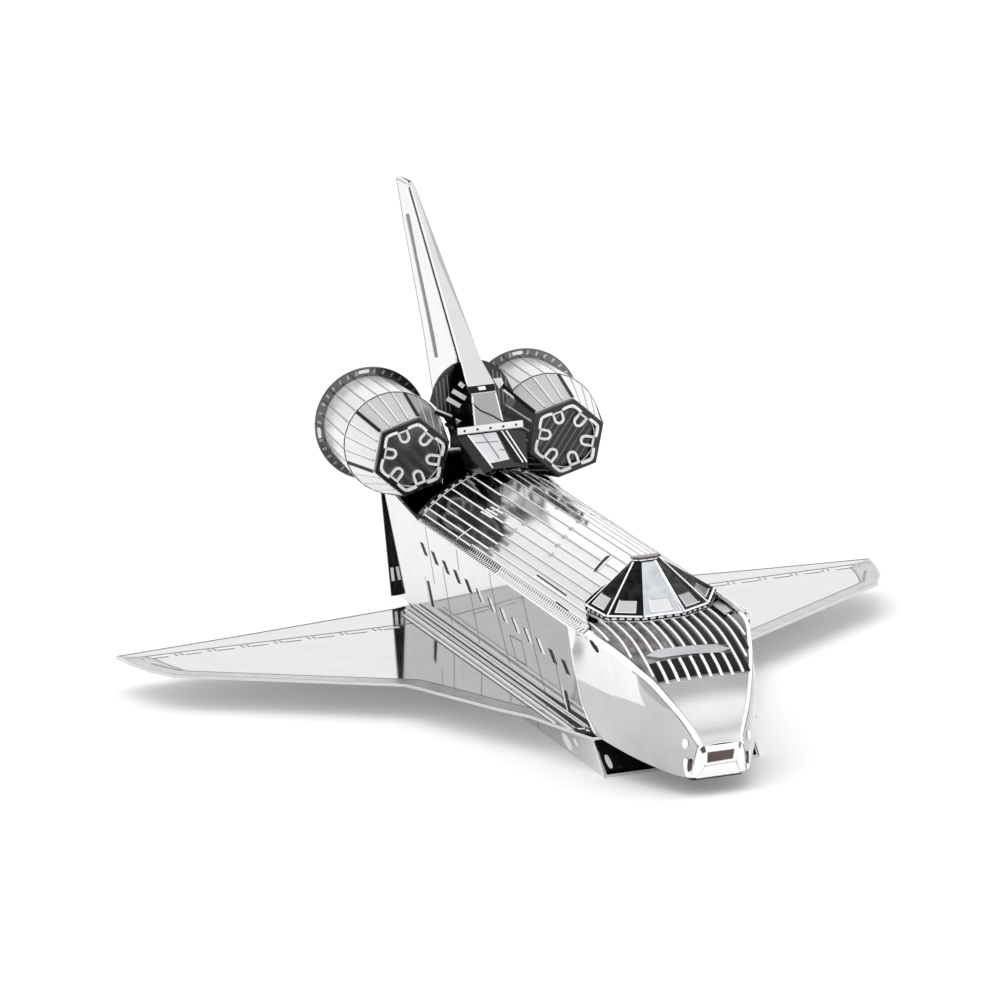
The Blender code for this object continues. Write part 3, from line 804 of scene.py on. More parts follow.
# Nose hood: rails across the nose, straight between them lengthwise, each bowed up a little.
# A rail is its station, height and half width
hood = {
    "line": [(-5.0, 6.92, 4.7), (-7.2, 6.92, 4.8), (-9.4, 6.76, 4.84), (-11.5, 6.45, 4.5),
             (-13.3, 5.92, 4.0), (-15.0, 5.35, 3.55), (-16.4, 4.8, 3.1), (-17.6, 3.95, 2.6),
             (-18.7, 3.0, 2.05), (-19.5, 1.95, 1.5), (-19.93, 0.99, 1.1)],
    "bows": (0.12, 0.08, 0.08, 0.12, 0.26, 0.24, 0.16, 0.12, 0.1, 0.1, 0.1), "sheet": 0.2,
    "upperEnd": (-16.6, -16.8), "valleyTone": 0.16, "glintFrom": (1.0, -2.6), "glint": 0.14,
    "lowerTone": (0.62, 1.0), "lowerEnds": (-17.4, -18.6), "dotsEnds": (-18.6, -17.0),
    "ribPitch": 0.715, "ribMiddle": 0.5, "ribStart": -5.8, "ribInset": 0.14, "rib": (0.14, 0.10, 30),
    "frontRib": (0.18, 0.07, 12), "bandY": (-13.55, -14.7), "bandX": (-2.85, 2.55), "slotEnd": -16.6,
    "slotX": (-3.0, 2.6), "slot": (0.46, 0.03, 12), "brownEnd": -0.8, "brownWide": 0.3,
    "blackAt": (-0.8, 1.5), "blackWide": (0.2, 0.36), "bandTilt": (0.25, -0.2), "bandWide": 1.05,
    "bandTaper": 0.14,
}
hoodAt = np.array(hood["line"])


# cubic from a to b, with the slopes da and db at its ends, read at a share f
def cubic(a, b, da, db, f):
    return (a * (1 + 2 * f) + da * f) * (1 - f) ** 2 + (b * (3 - 2 * f) - db * (1 - f)) * f ** 2


# cubics through the points of a line, read at shares of its length (centred tangents)
def eased(values, at):
    values = np.asarray(values, float)
    n = len(values) - 1
    x = np.clip(np.asarray(at, float) * n, 0, n)
    i = np.minimum(x.astype(int), n - 1)
    f = (x - i)[..., None] if values.ndim > 1 else x - i
    slope = np.gradient(values, axis=0)
    return cubic(values[i], values[i + 1], slope[i], slope[i + 1], f)


# u is the share of the half width; each rail bows up by a parabola
def onHood(u, share):
    u, share = spread(u, share)
    y, z, half = np.moveaxis(eased(hoodAt, share), -1, 0)
    return beside(half * u, y, z + eased(hood["bows"], share) * (1 - u * u))


# the hood's outer face at a true x and station y: the share is read back from a table of stations
hoodShares = np.linspace(0, 1, 400)
hoodYs = eased(hoodAt, hoodShares)[:, 0]


def hoodAcross(x, y):
    share = np.interp(-np.asarray(y, float), -hoodYs, hoodShares)
    half = eased(hoodAt, share)[..., 2]
    return onHood(np.clip(x / half, -1, 1), share) + (0, 0, sheetHalf)


def makeHood(h):
    share, u = np.linspace(0, 1, 160)[:, None], np.linspace(-1, 1, 61)[None, :]
    top = onHood(u, share)
    normals = -normalsOf(onHood, np.clip(u, -0.99, 0.99), np.clip(share, 0.004, 0.996))
    body = sheetBody(top + normals * sheetHalf, normals, h["sheet"], turned=True)
    x, y = np.moveaxis(top[:, ::-1, :2], -1, 0)
    # painted reflections: the upper hood is painted dark, the lower hood light and lightest towards the tip
    lower = smoothStep(*h["upperEnd"], y)
    # on the left the valleys catch wandering painted reflections
    glint = np.sin(x * 2.9 + y * 1.3) * np.sin(y * 2.1 - x * 1.2)
    tone = h["valleyTone"] + smoothStep(*h["glintFrom"], x) * h["glint"] * (1 + glint)
    dull, bright = h["lowerTone"]
    tone = tone * (1 - lower) + lower * (dull + (bright - dull) * smoothStep(*h["lowerEnds"], y))
    dotted = lower * smoothStep(*h["dotsEnds"], y)
    addPiece("hoodSheet", body, "frost", ["nose_hood"], smooth=True, tone=tone, dotted=dotted)


def makeHoodRibs(h):
    # ribs run straight to the band, start again under it, and stop where they reach the hood's edge
    x = h["ribMiddle"] + h["ribPitch"] * np.arange(-7, 6)
    y = np.linspace(h["ribStart"], h["slotEnd"] - 0.1, 221)[:, None]
    inside = np.abs(x) < np.interp(-y, -hoodYs, eased(hoodAt, hoodShares)[:, 2]) - h["ribInset"]
    rear, front = np.where(inside, y, -99).max(0), np.where(inside, y, 99).min(0)
    (bandRear, bandFront), (bandLeft, bandRight) = h["bandY"], h["bandX"]
    banded = (x > bandLeft) & (x < bandRight)
    ribs = barsOn(hoodAcross, beside(x, rear, x, np.where(banded, bandRear, front)), *h["rib"])
    bars = barsOn(hoodAcross, beside(x, bandFront, x, h["slotEnd"] - 0.25)[banded], *h["frontRib"])
    # painted shade in the valleys between them, brown with pinkish painted reflections on the left, and slots
    # under the band painted black as shade
    valley = x[:-1] + h["ribPitch"] / 2
    overBand = (valley > bandLeft) & (valley < bandRight)
    stop = np.where(overBand, bandRear, front[:-1] + 0.5)
    stop = np.where(valley > bandRight, h["slotEnd"], stop)
    shadow = beside(valley, rear[:-1] - 0.3, valley, stop)
    left = valley < h["brownEnd"]
    brown = barsOn(hoodAcross, shadow[left], h["brownWide"], 0.02, 30)
    wide = np.interp(valley[~left], h["blackAt"], h["blackWide"])
    black = barsOn(hoodAcross, shadow[~left], wide, 0.02, 30)
    cut = valley[(valley > h["slotX"][0]) & (valley < h["slotX"][1])]
    slots = barsOn(hoodAcross, beside(cut, bandFront, cut, h["slotEnd"]), *h["slot"])
    # the band tapers to a point at both ends
    k = np.linspace(0, 1, 32)
    middle = (bandRear + bandFront) / 2
    ends = [(bandLeft, middle + h["bandTilt"][0], bandRight, middle + h["bandTilt"][1])]
    wide = h["bandWide"] * np.clip(np.minimum(k, 1 - k) / h["bandTaper"], 0.08, 1)
    addPiece("hoodRibs", joined(ribs, bars), "white")
    addPiece("hoodBand", barsOn(hoodAcross, ends, wide[None, :], 0.12, 32), "pale", slot="bright_sheet")
    addPiece("hoodValleys", brown, "pinkShade")
    addPiece("hoodSlots", joined(slots, black), "black")


makeHood(hood)
makeHoodRibs(hood)

# Cheeks: cubics along and across the five rails of the folded side of the nose
cheek = {
    "rails": [
        [(5.64, -6.6, 6.86), (5.2, -9.3, 6.56), (4.64, -11.5, 6.12), (3.98, -14.0, 5.4),
         (3.28, -16.2, 4.64), (2.22, -18.6, 2.84), (1.36, -19.5, 1.12)],
        [(5.62, -5.38, 5.3), (5.3, -8.6, 5.2), (4.72, -11.2, 4.85), (4.1, -13.8, 4.4),
         (3.5, -16.1, 3.85), (2.4, -18.35, 2.3), (1.5, -19.35, 0.6)],
        [(5.48, -5.6, 3.5), (5.1, -8.5, 3.45), (4.6, -11.2, 3.3), (4.05, -13.7, 3.15),
         (3.45, -16.0, 2.8), (2.5, -18.0, 1.6), (1.62, -19.2, 0.1)],
        [(5.32, -5.95, 1.7), (4.9, -8.9, 1.45), (4.35, -11.8, 1.15), (3.7, -14.3, 0.85),
         (3.1, -16.2, 0.6), (2.35, -17.9, 0.2), (1.75, -18.85, -0.5)],
        [(5.19, -8.25, 0.14), (4.65, -10.6, -0.2), (3.9, -13.2, -0.6), (3.05, -15.5, -0.95),
         (2.6, -16.9, -1.08), (2.15, -17.9, -1.15), (1.84, -18.35, -1.2)]],
    "sheet": 0.2, "rows": 81, "columns": 181, "upper": 1.02, "lower": 0.66, "fade": 0.006,
    "foldAt": (0.03, 0.325, 0.645), "foldDown": (0.5, 0.506, 0.456), "slantAt": 0.548, "slant": 0.212,
}
cheekRails = np.array(cheek["rails"])


def onCheek(side):
    def surface(along, down):
        along, down = spread(along, down)
        lines = np.stack([eased(rail, along) for rail in cheekRails])
        x = np.clip(down * 4, 0, 4)
        i = np.minimum(x.astype(int), 3)
        f = (x - i)[..., None]
        pick = lambda k: np.take_along_axis(lines, np.clip(k, 0, 4)[None, ..., None], 0)[0]
        a, b = pick(i), pick(i + 1)
        return cubic(a, b, (b - pick(i - 1)) / 2, (pick(i + 2) - a) / 2, f) * (side, 1, 1)

    return surface


# normals turned, all together, so that most of them point out to the given side
def outwards(normals, side):
    return normals * np.sign((normals * (side, 0, 0)).sum(-1).mean())


def makeCheek(side, label, c):
    surface = onCheek(side)
    down, along = np.meshgrid(np.linspace(0, 1, c["rows"]), np.linspace(0, 1, c["columns"]), indexing="ij")
    normals = outwards(normalsOf(surface, np.clip(along, 0.01, 0.99), np.clip(down, 0.01, 0.99)), side)
    body = sheetBody(surface(along, down) + normals * sheetHalf, normals, c["sheet"], turned=side > 0)
    # painted reflection: the upper leaf, which ends at a fold line below and at a slanting line in front, is
    # painted lighter; the rest lies a touch darker
    fade = c["fade"]
    lower = np.maximum(smoothStep(-fade, fade, down - np.interp(along, c["foldAt"], c["foldDown"])),
                       smoothStep(-fade, fade, along - c["slantAt"] - c["slant"] * down))
    tone = c["upper"] + (c["lower"] - c["upper"]) * lower
    addPiece("cheek" + label, body, "veiled", ["cheek_" + label.lower()], slot="bright_sheet", smooth=True,
             tone=tone[:, ::-1] if side > 0 else tone)


bothSides(makeCheek, cheek)

# Hem: a narrow bright strip down each side of the hood, from its edge over to the cheek's top rail
hem = {
    "start": 0.16, "rows": 90, "sheet": 0.08, "edge": (0.03, 0.08), "foot": (0.13, 0.05, 0.15), "bulge": 0.05,
    "crease": [("bars", [(0.46, 0.93, 0.985, 0.93)], 0.05, 0.02, 90)],
}


# straight across from edge to foot, bulging out by half a sine wave
def onHem(side):
    rail = eased(cheekRails[0], np.linspace(0, 1, 300))
    (edgeOut, edgeUp), (footOut, railDown, hoodDown) = hem["edge"], hem["foot"]

    def surface(share, down):
        share, down = spread(share, down)
        y, z, half = np.moveaxis(eased(hoodAt, share), -1, 0)
        x, low = (np.interp(-y, -rail[:, 1], rail[:, k]) for k in (0, 2))
        edge = beside(half + edgeOut, y, z + edgeUp)
        foot = beside(x + footOut, y, np.minimum(low - railDown, z - hoodDown))
        out = np.sin(np.pi * down)[..., None] * (hem["bulge"], 0, 0)
        return (between(edge, foot, down) + out) * (side, 1, 1)

    return surface


def makeHem(side, label, h):
    surface = onHem(side)
    share, down = np.meshgrid(np.linspace(h["start"], 1, h["rows"]), np.linspace(0, 1, 6), indexing="ij")
    normals = side * normalsOf(surface, np.clip(share, 0, 0.995), np.clip(down, 0.01, 0.99))
    body = sheetBody(surface(share, down), normals, h["sheet"], turned=side < 0)
    addPiece("hem" + label, body, "white", smooth=True)
    addTrims("hemCrease" + label, "grey", (surface, h["crease"], side))


bothSides(makeHem, hem)

# Nose tip: a brown slotted panel under the hood's end, in a bright frame with folded sides
tip = {
    "knots": [(-1.2, -18.5), (-0.30, -19.3), (0.72, -19.95)], "half": 0.1, "sheet": 0.08, "over": 0.1,
    "side": [(1.12, -20.03, 1.05), (1.07, -20.06, 0.72), (1.05, -19.7, 0.15), (1.07, -19.38, -0.35),
             (1.46, -18.6, -1.2)],
    "panel": [("plates", (-0.97, 0.66, 0.80, 0.66, 0.76, -0.04, -0.92, -0.1), 0.03)],
    "frame": [("bars", [(-1.05, -0.2, 1.0, -0.14)], 0.16, 0.08),
              ("bars", [(0.88, 0.75, 0.84, -0.15), (-1.03, 0.8, -1.0, -0.2)], 0.1, 0.06),
              ("plates", (-1.1, 1.05, 1.1, 1.05, 1.05, 0.66, -1.05, 0.66), 0.02)],
    "line": [("bars", [(-1.1, -0.34, 1.0, -0.28)], 0.05, 0.03)],
    # on the folded sides
    "wedge": [("plates", (0.05, 0.02, 1.0, -0.02, 1.0, 0.26, 0.7, 0.3), 0.03)],
    "rim": [("bars", [(0.1, 0.02, 0.1, 0.95)], 0.05, 0.02, 12)],
    # on the cheeks
    "tabs": [("ovals", [(0.915, 0.25, 0.93, 0.46)], 0.42, 0.2, -0.11),
             ("ovals", [(0.94, 0.64, 0.985, 0.93)], 0.55, 0.2, -0.11),
             ("bars", [(0.006, 0.12, 0.012, 0.97)], 0.14, 0.14, 16, -0.08)],
    "holes": [("ovals", [(0.975, 0.57, 0.992, 0.82)], 0.28, 0.22, -0.1)],
    "drop": [("ovals", [(0.16, 0.0, 0.245, 0.10)], 0.34, 0.14, -0.1)],
}


def onTip(x, z):
    knots = np.array(tip["knots"])
    return beside(x, np.interp(z, knots[:, 0], knots[:, 1]) - tip["half"], z)


# folded side of the tip: straight from the cheek's front edge over to the edge of the tip's plate
def onTipSide(side):
    def surface(over, down):
        over, down = spread(over, down)
        at = np.linspace(0, 1, 5)
        back, ahead = (beside(*(np.interp(down, at, line[:, k]) for k in range(3)))
                       for line in (cheekRails[:, -1] + (tip["over"], 0, 0), np.array(tip["side"])))
        return between(back, ahead, over) * (side, 1, 1)

    return surface


def makeTip(t):
    addTrims("tipPanel", "umber", (onTip, t["panel"]))
    addTrims("tipFrame", "white", (onTip, t["frame"]))
    addTrims("tipLine", "grey", (onTip, t["line"]))


def makeTipSide(side, label, t):
    folded, surface = onTipSide(side), onCheek(side)
    over, down = np.meshgrid(np.linspace(0, 1, 3), np.linspace(0, 1, 17))
    normals = outwards(normalsOf(folded, over, np.clip(down, 0.01, 0.99)), side)
    addPiece("tipSide" + label, sheetBody(folded(over, down), normals, t["sheet"], turned=side > 0), "white")
    addTrims("tipTabs" + label, "white", (surface, t["tabs"], side))
    addTrims("tipHoles" + label, "umber", (surface, t["holes"], side), (folded, t["wedge"], -side))
    addTrims("tipRim" + label, "grey", (folded, t["rim"], -side))
    addTrims("cheekDrop" + label, "black", (surface, t["drop"], side))


makeTip(tip)
bothSides(makeTipSide, tip)

# Canopy: five facets that lean together under a small cap, each a frame round its own pane
canopy = {
    "foot": [(-4.42, -4.75, 8.0), (-3.46, -6.4, 7.36), (-1.35, -8.0, 7.3)],
    "head": [(-0.84, -4.35, 10.5), (-0.84, -4.7, 10.5), (-0.42, -5.0, 10.5)],
    "window": (0.2, 0.8, 0.09, 0.31), "half": 0.07, "paneDepth": 0.02,
    "tones": (0.05, 0.035, 1.0, 0.12, 0.09), "paneTones": (0.95, 0.97, 0.92, 0.9, 0.4),
    "marks": (0.1, 0.9, 5), "markLong": 0.06, "markWide": 0.10,
    # white edges up a facet, painted as highlights, and dark ones: the facet, the line's ends in it and its
    # width
    "edges": [(1, (0.03, 0.02, 0.03, 0.98), 0.11), (3, (0.03, 0.02, 0.03, 0.98), 0.13),
              (4, (0.04, 0.02, 0.04, 0.98), 0.13), (2, (0.97, 0.02, 0.97, 0.98), 0.05),
              (0, (0.05, 0.02, 0.05, 0.98), 0.06)],
    "darks": [(3, (0.12, 0.35, 0.15, 0.98), 0.07), (3, (0.88, 0.03, 0.88, 0.9), 0.07),
              (1, (0.95, 0.03, 0.95, 0.9), 0.05)],
}


# points of the row and their mirror images, in order round the canopy
def mirrored(row):
    return np.array(row + [(-x, y, z) for x, y, z in row[::-1]])


def onFacet(f):
    foot, head = mirrored(canopy["foot"])[f:f + 2], mirrored(canopy["head"])[f:f + 2]

    def surface(s, t):
        s, t = spread(s, t)
        return between(between(*foot, s), between(*head, s), t)

    return surface


def makeCanopy(c):
    frames, panes, whites, darks = [], [], [], []
    half, (a, b, low, high) = c["half"], c["window"]
    rim = np.array([(a, low), (b, low), (b, high), (a, high), (a, low)])
    for f in range(5):
        surface = onFacet(f)
        n = normalsOf(surface, 0.5, 0.4) * half
        out, hole = surface([0, 1, 1, 0], [0, 0, 1, 1]), surface(*rim[:4].T)
        frames.append(loopBody(np.stack([out + n, hole + n, hole - n, out - n])))
        panes.append(inlaysOn(surface, rim[:4], c["paneDepth"], half))
        # white along two sides of the window and along the foot, with dark dashes under it
        whites += [barsOn(surface, steps(*rim)[[0, 3]], 0.05, half + 0.02),
                   barsOn(surface, [(0.02, 0.02, 0.98, 0.02)], 0.13, half + 0.05, 8)]
        marks = np.linspace(*c["marks"])
        ends = beside(marks, -0.01, marks + c["markLong"], -0.01)
        darks.append(barsOn(surface, ends, c["markWide"], half + 0.03))
    whites += [barsOn(onFacet(f), [ends], width, half + 0.04, 12) for f, ends, width in c["edges"]]
    darks += [barsOn(onFacet(f), [ends], width, half + 0.02, 8) for f, ends, width in c["darks"]]
    # painted reflections: the side facets get dark tones, mottled with glints by the canopy steel, and the
    # front facet and most panes light ones
    front = frames.pop(2)
    tones = np.repeat(np.delete(c["tones"], 2), 16)
    addPiece("canopySheet", joined(*frames), "canopy", ["canopy"], tone=tones)
    addPiece("canopyFront", front, "litFacet", tone=[1.0])
    addPiece("canopyPanes", joined(*panes), "veiled", tone=np.repeat(c["paneTones"], 8))
    addPiece("canopyEdges", joined(*whites), "white")
    addPiece("canopyMarks", joined(*darks), "black")


makeCanopy(canopy)

# Skirt: the folded rim that stands under the canopy, over the roof's end at each side of the hood,
# and a small plate beside the canopy's port end
skirt = {
    "rows": 40, "ends": 4.42, "drop": 0.5, "middleShare": 0.45, "ahead": 0.04, "sheet": 0.1,
    "plate": [(3.69, -6.46, 7.35), (4.53, -5.29, 7.35), (3.79, -9.05, 7.1), (4.6, -8.08, 7.1)],
    "lines": [("bars", [(-4.3, 0.42, -3.4, 0.42), (3.4, 0.42, 4.3, 0.42), (-3.3, 0.5, 3.3, 0.5)],
               0.07, 0.03, 24)],
    "border": [("bars", [(1.04, 0.0, 1.04, 1.0)], 0.2, 0.06)],
    "inlay": [("plates", (0, 0, 1, 0, 1, 1, 0, 1), 0.04)],
}


# it hangs from the canopy's foot line, deeper towards the ends with the cube of the distance
def onSkirt(x, down):
    foot = mirrored(canopy["foot"])
    x, down = spread(x, down)
    y, z = (np.interp(x, foot[:, 0], foot[:, k]) for k in (1, 2))
    share = skirt["middleShare"]
    depth = share + (1 - share) * (np.abs(x) / skirt["ends"]) ** 3
    return beside(x, y - skirt["ahead"], z - skirt["drop"] * down * depth)


# straight lines between two of the plate's corners and the other two
def onPlate(out, down):
    out, down = spread(out, down)
    a, b, c, d = np.array(skirt["plate"])
    return between(between(a, b, out), between(c, d, out), down)


def makeSkirt(s):
    x = np.linspace(-s["ends"], s["ends"], s["rows"])
    x, down = np.meshgrid(x, np.linspace(-0.1, 1, 4), indexing="ij")
    body = sheetBody(onSkirt(x, down), -normalsOf(onSkirt, x, down), s["sheet"], turned=True)
    addPiece("skirtSheet", body, "white")
    addTrims("skirtLines", "black", (onSkirt, s["lines"], -1), (onPlate, s["border"], -1))
    addTrims("skirtPlate", "faint", (onPlate, s["inlay"], -1))


makeSkirt(skirt)

# Side walls: what is on them is drawn in the wall's own y and z. A row of slanted slits runs down the wall
wallMarks = {
    "slits": 13, "first": (38.15, 5.86), "last": (-1.6, 4.14), "litFrom": 5, "litTo": 11,
    "slit": [(0, 0), (-1.15, 0.04), (-2.15, -0.8), (-1.0, -0.84)],
    "litSlit": [(-0.6, 0.02), (-1.15, 0.04), (-2.15, -0.8), (-1.6, -0.82)], "slitDeep": 0.12,
    "black": [("plates", [(37.8, 3.05, 36.9, 3.1, 36.45, 1.28, 37.4, 1.2),
                          (-1.1, 1.9, -2.0, 2.0, -2.5, 0.6, -1.6, 0.5)], -0.03, 0.12)],
    "white": [("plates", (-5.2, 6.93, -5.2, 5.1, -5.9, 5.6, -7.3, 6.93), 0.06),
              ("bars", [(43.4, 0.42, -6.6, 0.42)], 0.1, 0.03),
              ("bars", [(38.2, 3.25, 37.75, 1.0), (-0.75, 2.1, -1.35, 0.4)], 0.12, 0.03)],
    "grey": [("bars", [(35.49, 7.35, 35.17, 3.21), (26.0, 7.15, 26.28, 5.62), (31.6, 5.0, 31.2, 0.9),
                       (23.6, 4.4, 22.9, 0.9), (0.2, 3.9, -0.5, 0.8)], 0.1, 0.015),
             ("line", [(16.35, 7.05), (16.47, 6.24), (15.98, 4.53), (14.26, 0.99)], 0.1, 0.015),
             ("line", [(7.24, 6.95), (6.73, 5.58), (6.21, 4.16), (4.49, 0.71)], 0.1, 0.015),
             ("line", [(12.88, 3.25), (9.45, 3.37), (9.0, 1.81), (11.92, 1.65), (12.88, 3.25)], 0.1, 0.015),
             ("bars", [(43.4, 0.30, -6.9, 0.30)], 0.07, 0.04)],
}


def onWall(side):
    def surface(y, z):
        y, z = spread(y, z)
        return beside(wallFoot + wallLean * z, y, wallScale * z) * (side, 1, 1)

    return surface


def makeWallMarks(side, label, w):
    surface = onWall(side)
    k = np.linspace(0, 1, w["slits"])[:, None]
    at = (np.array(w["first"]) * (1 - k) + np.array(w["last"]) * k)[:, None, :]
    holes = inlaysOn(surface, at + np.array(w["slit"]), -0.03, w["slitDeep"], side)
    lit = inlaysOn(surface, at[w["litFrom"]:w["litTo"]] + np.array(w["litSlit"]), 0.03, w["slitDeep"], side)
    # the slits are painted black as the shade inside them, the middle ones partly white as highlights, and a
    # white patch over the wall's front corner paints a highlight
    addPiece("wallHoles" + label, joined(holes, trimsOn(surface, w["black"], side)), "black")
    addPiece("wallLit" + label, joined(lit, trimsOn(surface, w["white"], side)), "white")
    addTrims("wallPanels" + label, "grey", (surface, w["grey"], side))


bothSides(makeWallMarks, wallMarks)

# Root: the bend that widens towards the nose, painted dark as the shadow in the gap there, the lines beside
# it on the wing and the tab at its end
root = {
    "level": 0.28,
    "bend": [("plates", [(5.60, 43.2, 5.70, 43.2, 5.72, 8.0, 5.58, 8.0),
                         (5.58, 8.0, 5.72, 8.0, 5.90, -5.9, 5.45, -6.3)], 0.02)],
    "rim": [("bars", [(5.43, 43.2, 5.40, -6.0)], 0.1, 0.04)],
    "tab": [("plates", (5.28, -5.8, 6.0, -5.6, 5.75, -7.4, 5.28, -8.2), 0.16)],
    "lines": [("bars", [(6.50, 41.0, 6.42, -3.4), (6.88, 41.0, 6.72, -2.4)], 0.11, 0.02)],
    "white": [("bars", [(6.12, 43.0, 6.12, -5.3), (6.69, 41.0, 6.57, -2.8)], 0.2, 0.04),
              ("ovals", [(5.62, -5.9, 5.55, -6.6), (5.5, -6.8, 5.42, -7.4), (5.85, -6.0, 5.72, -6.5)],
               0.16, 0.2)],
}


def makeRoot(side, label, r):
    strip, deck = onDeck(r["level"], side), onDeck(sheetHalf, side)
    addTrims("rootBend" + label, "black", (strip, r["bend"], side), (deck, r["tab"], side))
    addTrims("rootLines" + label, "line", (deck, r["lines"], side))
    addTrims("rootEdges" + label, "white", (deck, r["white"], side), (strip, r["rim"], side))


bothSides(makeRoot, root)

# Wings, above and below: a band inside the leading edge and round the tip, the hinge line and its brackets
wing = {
    "edge": [(6.54, -3.9), (7.4, 0.8), (8.84, 4.9), (10.13, 9.3), (11.67, 14.6), (12.3, 16.5), (25.8, 30.1),
             (26.95, 33.2), (27.65, 36.4), (28.05, 39.5)],
    "inset": 0.12, "band": 1.4, "bandHigh": 0.012, "hinge": (6.4, 37.6, 27.75, 38.2),
    "tipLine": [(24.75, 31.0), (25.25, 33.2), (25.6, 35.0), (25.95, 37.6)],
    "rear": [(28.0, 39.55), (18.9, 41.2), (6.8, 43.8)], "diagonal": (26.4, 35.2, 25.0, 31.2),
    "line": 0.14, "high": 0.02, "rearWide": 1.3, "diagonalWide": 1.6, "brackets": (8.0, 25.0, 2.4),
    # lines of a bracket from its place on the hinge line: both ends, and the width
    "bracket": [(1.45, -0.35, 1.35, -1.1, 0.1), (1.85, -0.35, 1.75, -1.1, 0.1), (0, -1.15, 1.2, -1.12, 0.07)],
    "bracketLit": (0, -0.9, 1.2, -0.87),
}


# a line of points moved sideways by a distance: each corner along the mean of its neighbours' normals
def inset(points, distance):
    points = np.asarray(points, float)
    along = unit(np.diff(points, axis=0))
    normals = beside(-along[:, 1], along[:, 0])
    corner = unit(np.concatenate([normals[:1], normals[:-1] + normals[1:], normals[-1:]]))
    return points + corner * distance


def makeWing(side, label, w):
    outer, inner = inset(w["edge"], w["inset"]), inset(w["edge"], w["band"])[:7]
    tipLine = np.array(w["tipLine"])
    inner[-1] = tipLine[0]
    band = np.concatenate([np.concatenate([outer[:-4], outer[1:-3], inner[1:], inner[:-1]], axis=1),
                           np.concatenate([outer[6:9], outer[7:10], tipLine[1:], tipLine[:-1]], axis=1)])
    x0, y0, x1, y1 = w["hinge"]
    x = np.arange(*w["brackets"])
    y = y0 + (y1 - y0) * (x - x0) / (x1 - x0)
    wide, high = w["line"], w["high"]
    drawn = [(steps(*inner), wide), (steps(*tipLine), wide), ([w["hinge"]], wide),
             (steps(*w["rear"]), wide * w["rearWide"]), ([w["diagonal"]], wide * w["diagonalWide"])]
    drawn += [(beside(x + a, y + b, x + c, y + d), each) for a, b, c, d, each in w["bracket"]]
    a, b, c, d = w["bracketLit"]
    lit = beside(x + a, y + b, x + c, y + d)
    lines, whites, bands = [], [], []
    for level, face in ((sheetHalf, side), (-sheetHalf, -side)):
        deck = onDeck(level, side)
        lines += [barsOn(deck, ends, each, high, face=face) for ends, each in drawn]
        whites.append(barsOn(deck, lit, 0.3, 0.04, face=face))
        bands.append(inlaysOn(deck, band, w["bandHigh"], face=face))
    addPiece("wingLines" + label, joined(*lines), "grey")
    addPiece("wingBrackets" + label, joined(*whites), "white")
    addPiece("wingBand" + label, joined(*bands), "band")


bothSides(makeWing, wing)

# Fin: straight from station to station; u crosses the front strip, back runs over a skin from front to rear
fin = {
    # the strip's stations: y, height, half width; the skin's: its front and rear points
    "front": [(37.55, 13.72, 1.1), (38.4, 15.9, 0.91), (39.0, 16.33, 1.0), (41.6, 17.8, 0.76),
              (56.2, 29.35, 0.17)],
    "rails": [[(0.72, 42.45, 13.55), (0.115, 54.4, 13.55)], [(0.72, 42.45, 18.05), (0.115, 55.9, 18.4)],
              [(0.30, 53.45, 26.85), (0.115, 59.4, 26.25)], [(0.17, 56.75, 29.45), (0.115, 60.5, 29.5)]],
    "foot": [("plates", (-0.96, 0.03, 0.96, 0.03, 0.96, 0.98, -0.96, 0.98), 0.11)],
    "black": [("line", [(-0.95, 0.72), (-0.84, 0.642), (-0.42, 0.45), (-0.11, 0.376), (0.35, 0.252),
                        (0.7, 0.119), (1.0, 0.02)], 0.1, 0.13),
              ("plates", (-1.0, 1.04, 0.98, 1.04, 0.98, 1.98, -1.0, 1.98), 0.12)],
    "white": [("plates", (-0.3, 1.3, 0.25, 1.3, 0.25, 1.75, -0.3, 1.75), 0.15),
              ("bars", [(-0.93, 0.02, -0.93, 0.95), (0.93, 0.02, 0.93, 0.95)], 0.08, 0.13, 4),
              ("line", [(-0.97, 2.1), (-0.95, 3.0), (-0.8, 3.97)], 0.07, 0.13, 4)],
    # painted shade along the front strip's edge
    "shade": [("plates", [(0.9, 3.98, 0.98, 3.98, 0.98, 3.55, 0.3, 3.55),
                          (0.3, 3.55, 0.98, 3.55, 0.98, 3.1, 0.95, 3.1)], 0.11)],
    # on both skins
    "lines": [("line", [(0.655, 0.733), (0.69, 1.0), (0.595, 2.0), (0.60, 2.135)], 0.3, 0.2, 6),
              ("line", [(0.965, 0.1), (0.965, 1.0), (0.95, 2.0), (0.93, 2.95)], 0.08, 0.1, 6),
              ("bars", [(0.04, 2.93, 0.96, 2.95)], 0.1, 0.1, 6)],
    "glints": [("line", [(0.03, 0.1), (0.03, 1.0), (0.05, 2.0), (0.08, 2.9)], 0.3, 0.1, 6)],
}


def onFinFront(u, at):
    u, at = spread(u, at)
    y, z, half = (np.interp(at, np.arange(5), column) for column in np.array(fin["front"]).T)
    return beside(half * u, y, z)


def onFinSkin(side):
    def surface(back, at):
        back, at = spread(back, at)
        front, rear = (beside(*(np.interp(at, np.arange(4), column) for column in rail.T))
                       for rail in np.moveaxis(np.array(fin["rails"]), 1, 0))
        return between(front, rear, back) * (side, 1, 1)

    return surface


def makeFin(f):
    addTrims("finFoot", "faint", (onFinFront, f["foot"]))
    addTrims("finBlack", "black", (onFinFront, f["black"]))
    addTrims("finWhite", "white", (onFinFront, f["white"]))
    addTrims("finShade", "faint", (onFinFront, f["shade"]))
    addTrims("finLines", "seam", *((onFinSkin(side), f["lines"], side) for side in (-1, 1)))
    addTrims("finGlints", "white", *((onFinSkin(side), f["glints"], side) for side in (-1, 1)))


makeFin(fin)

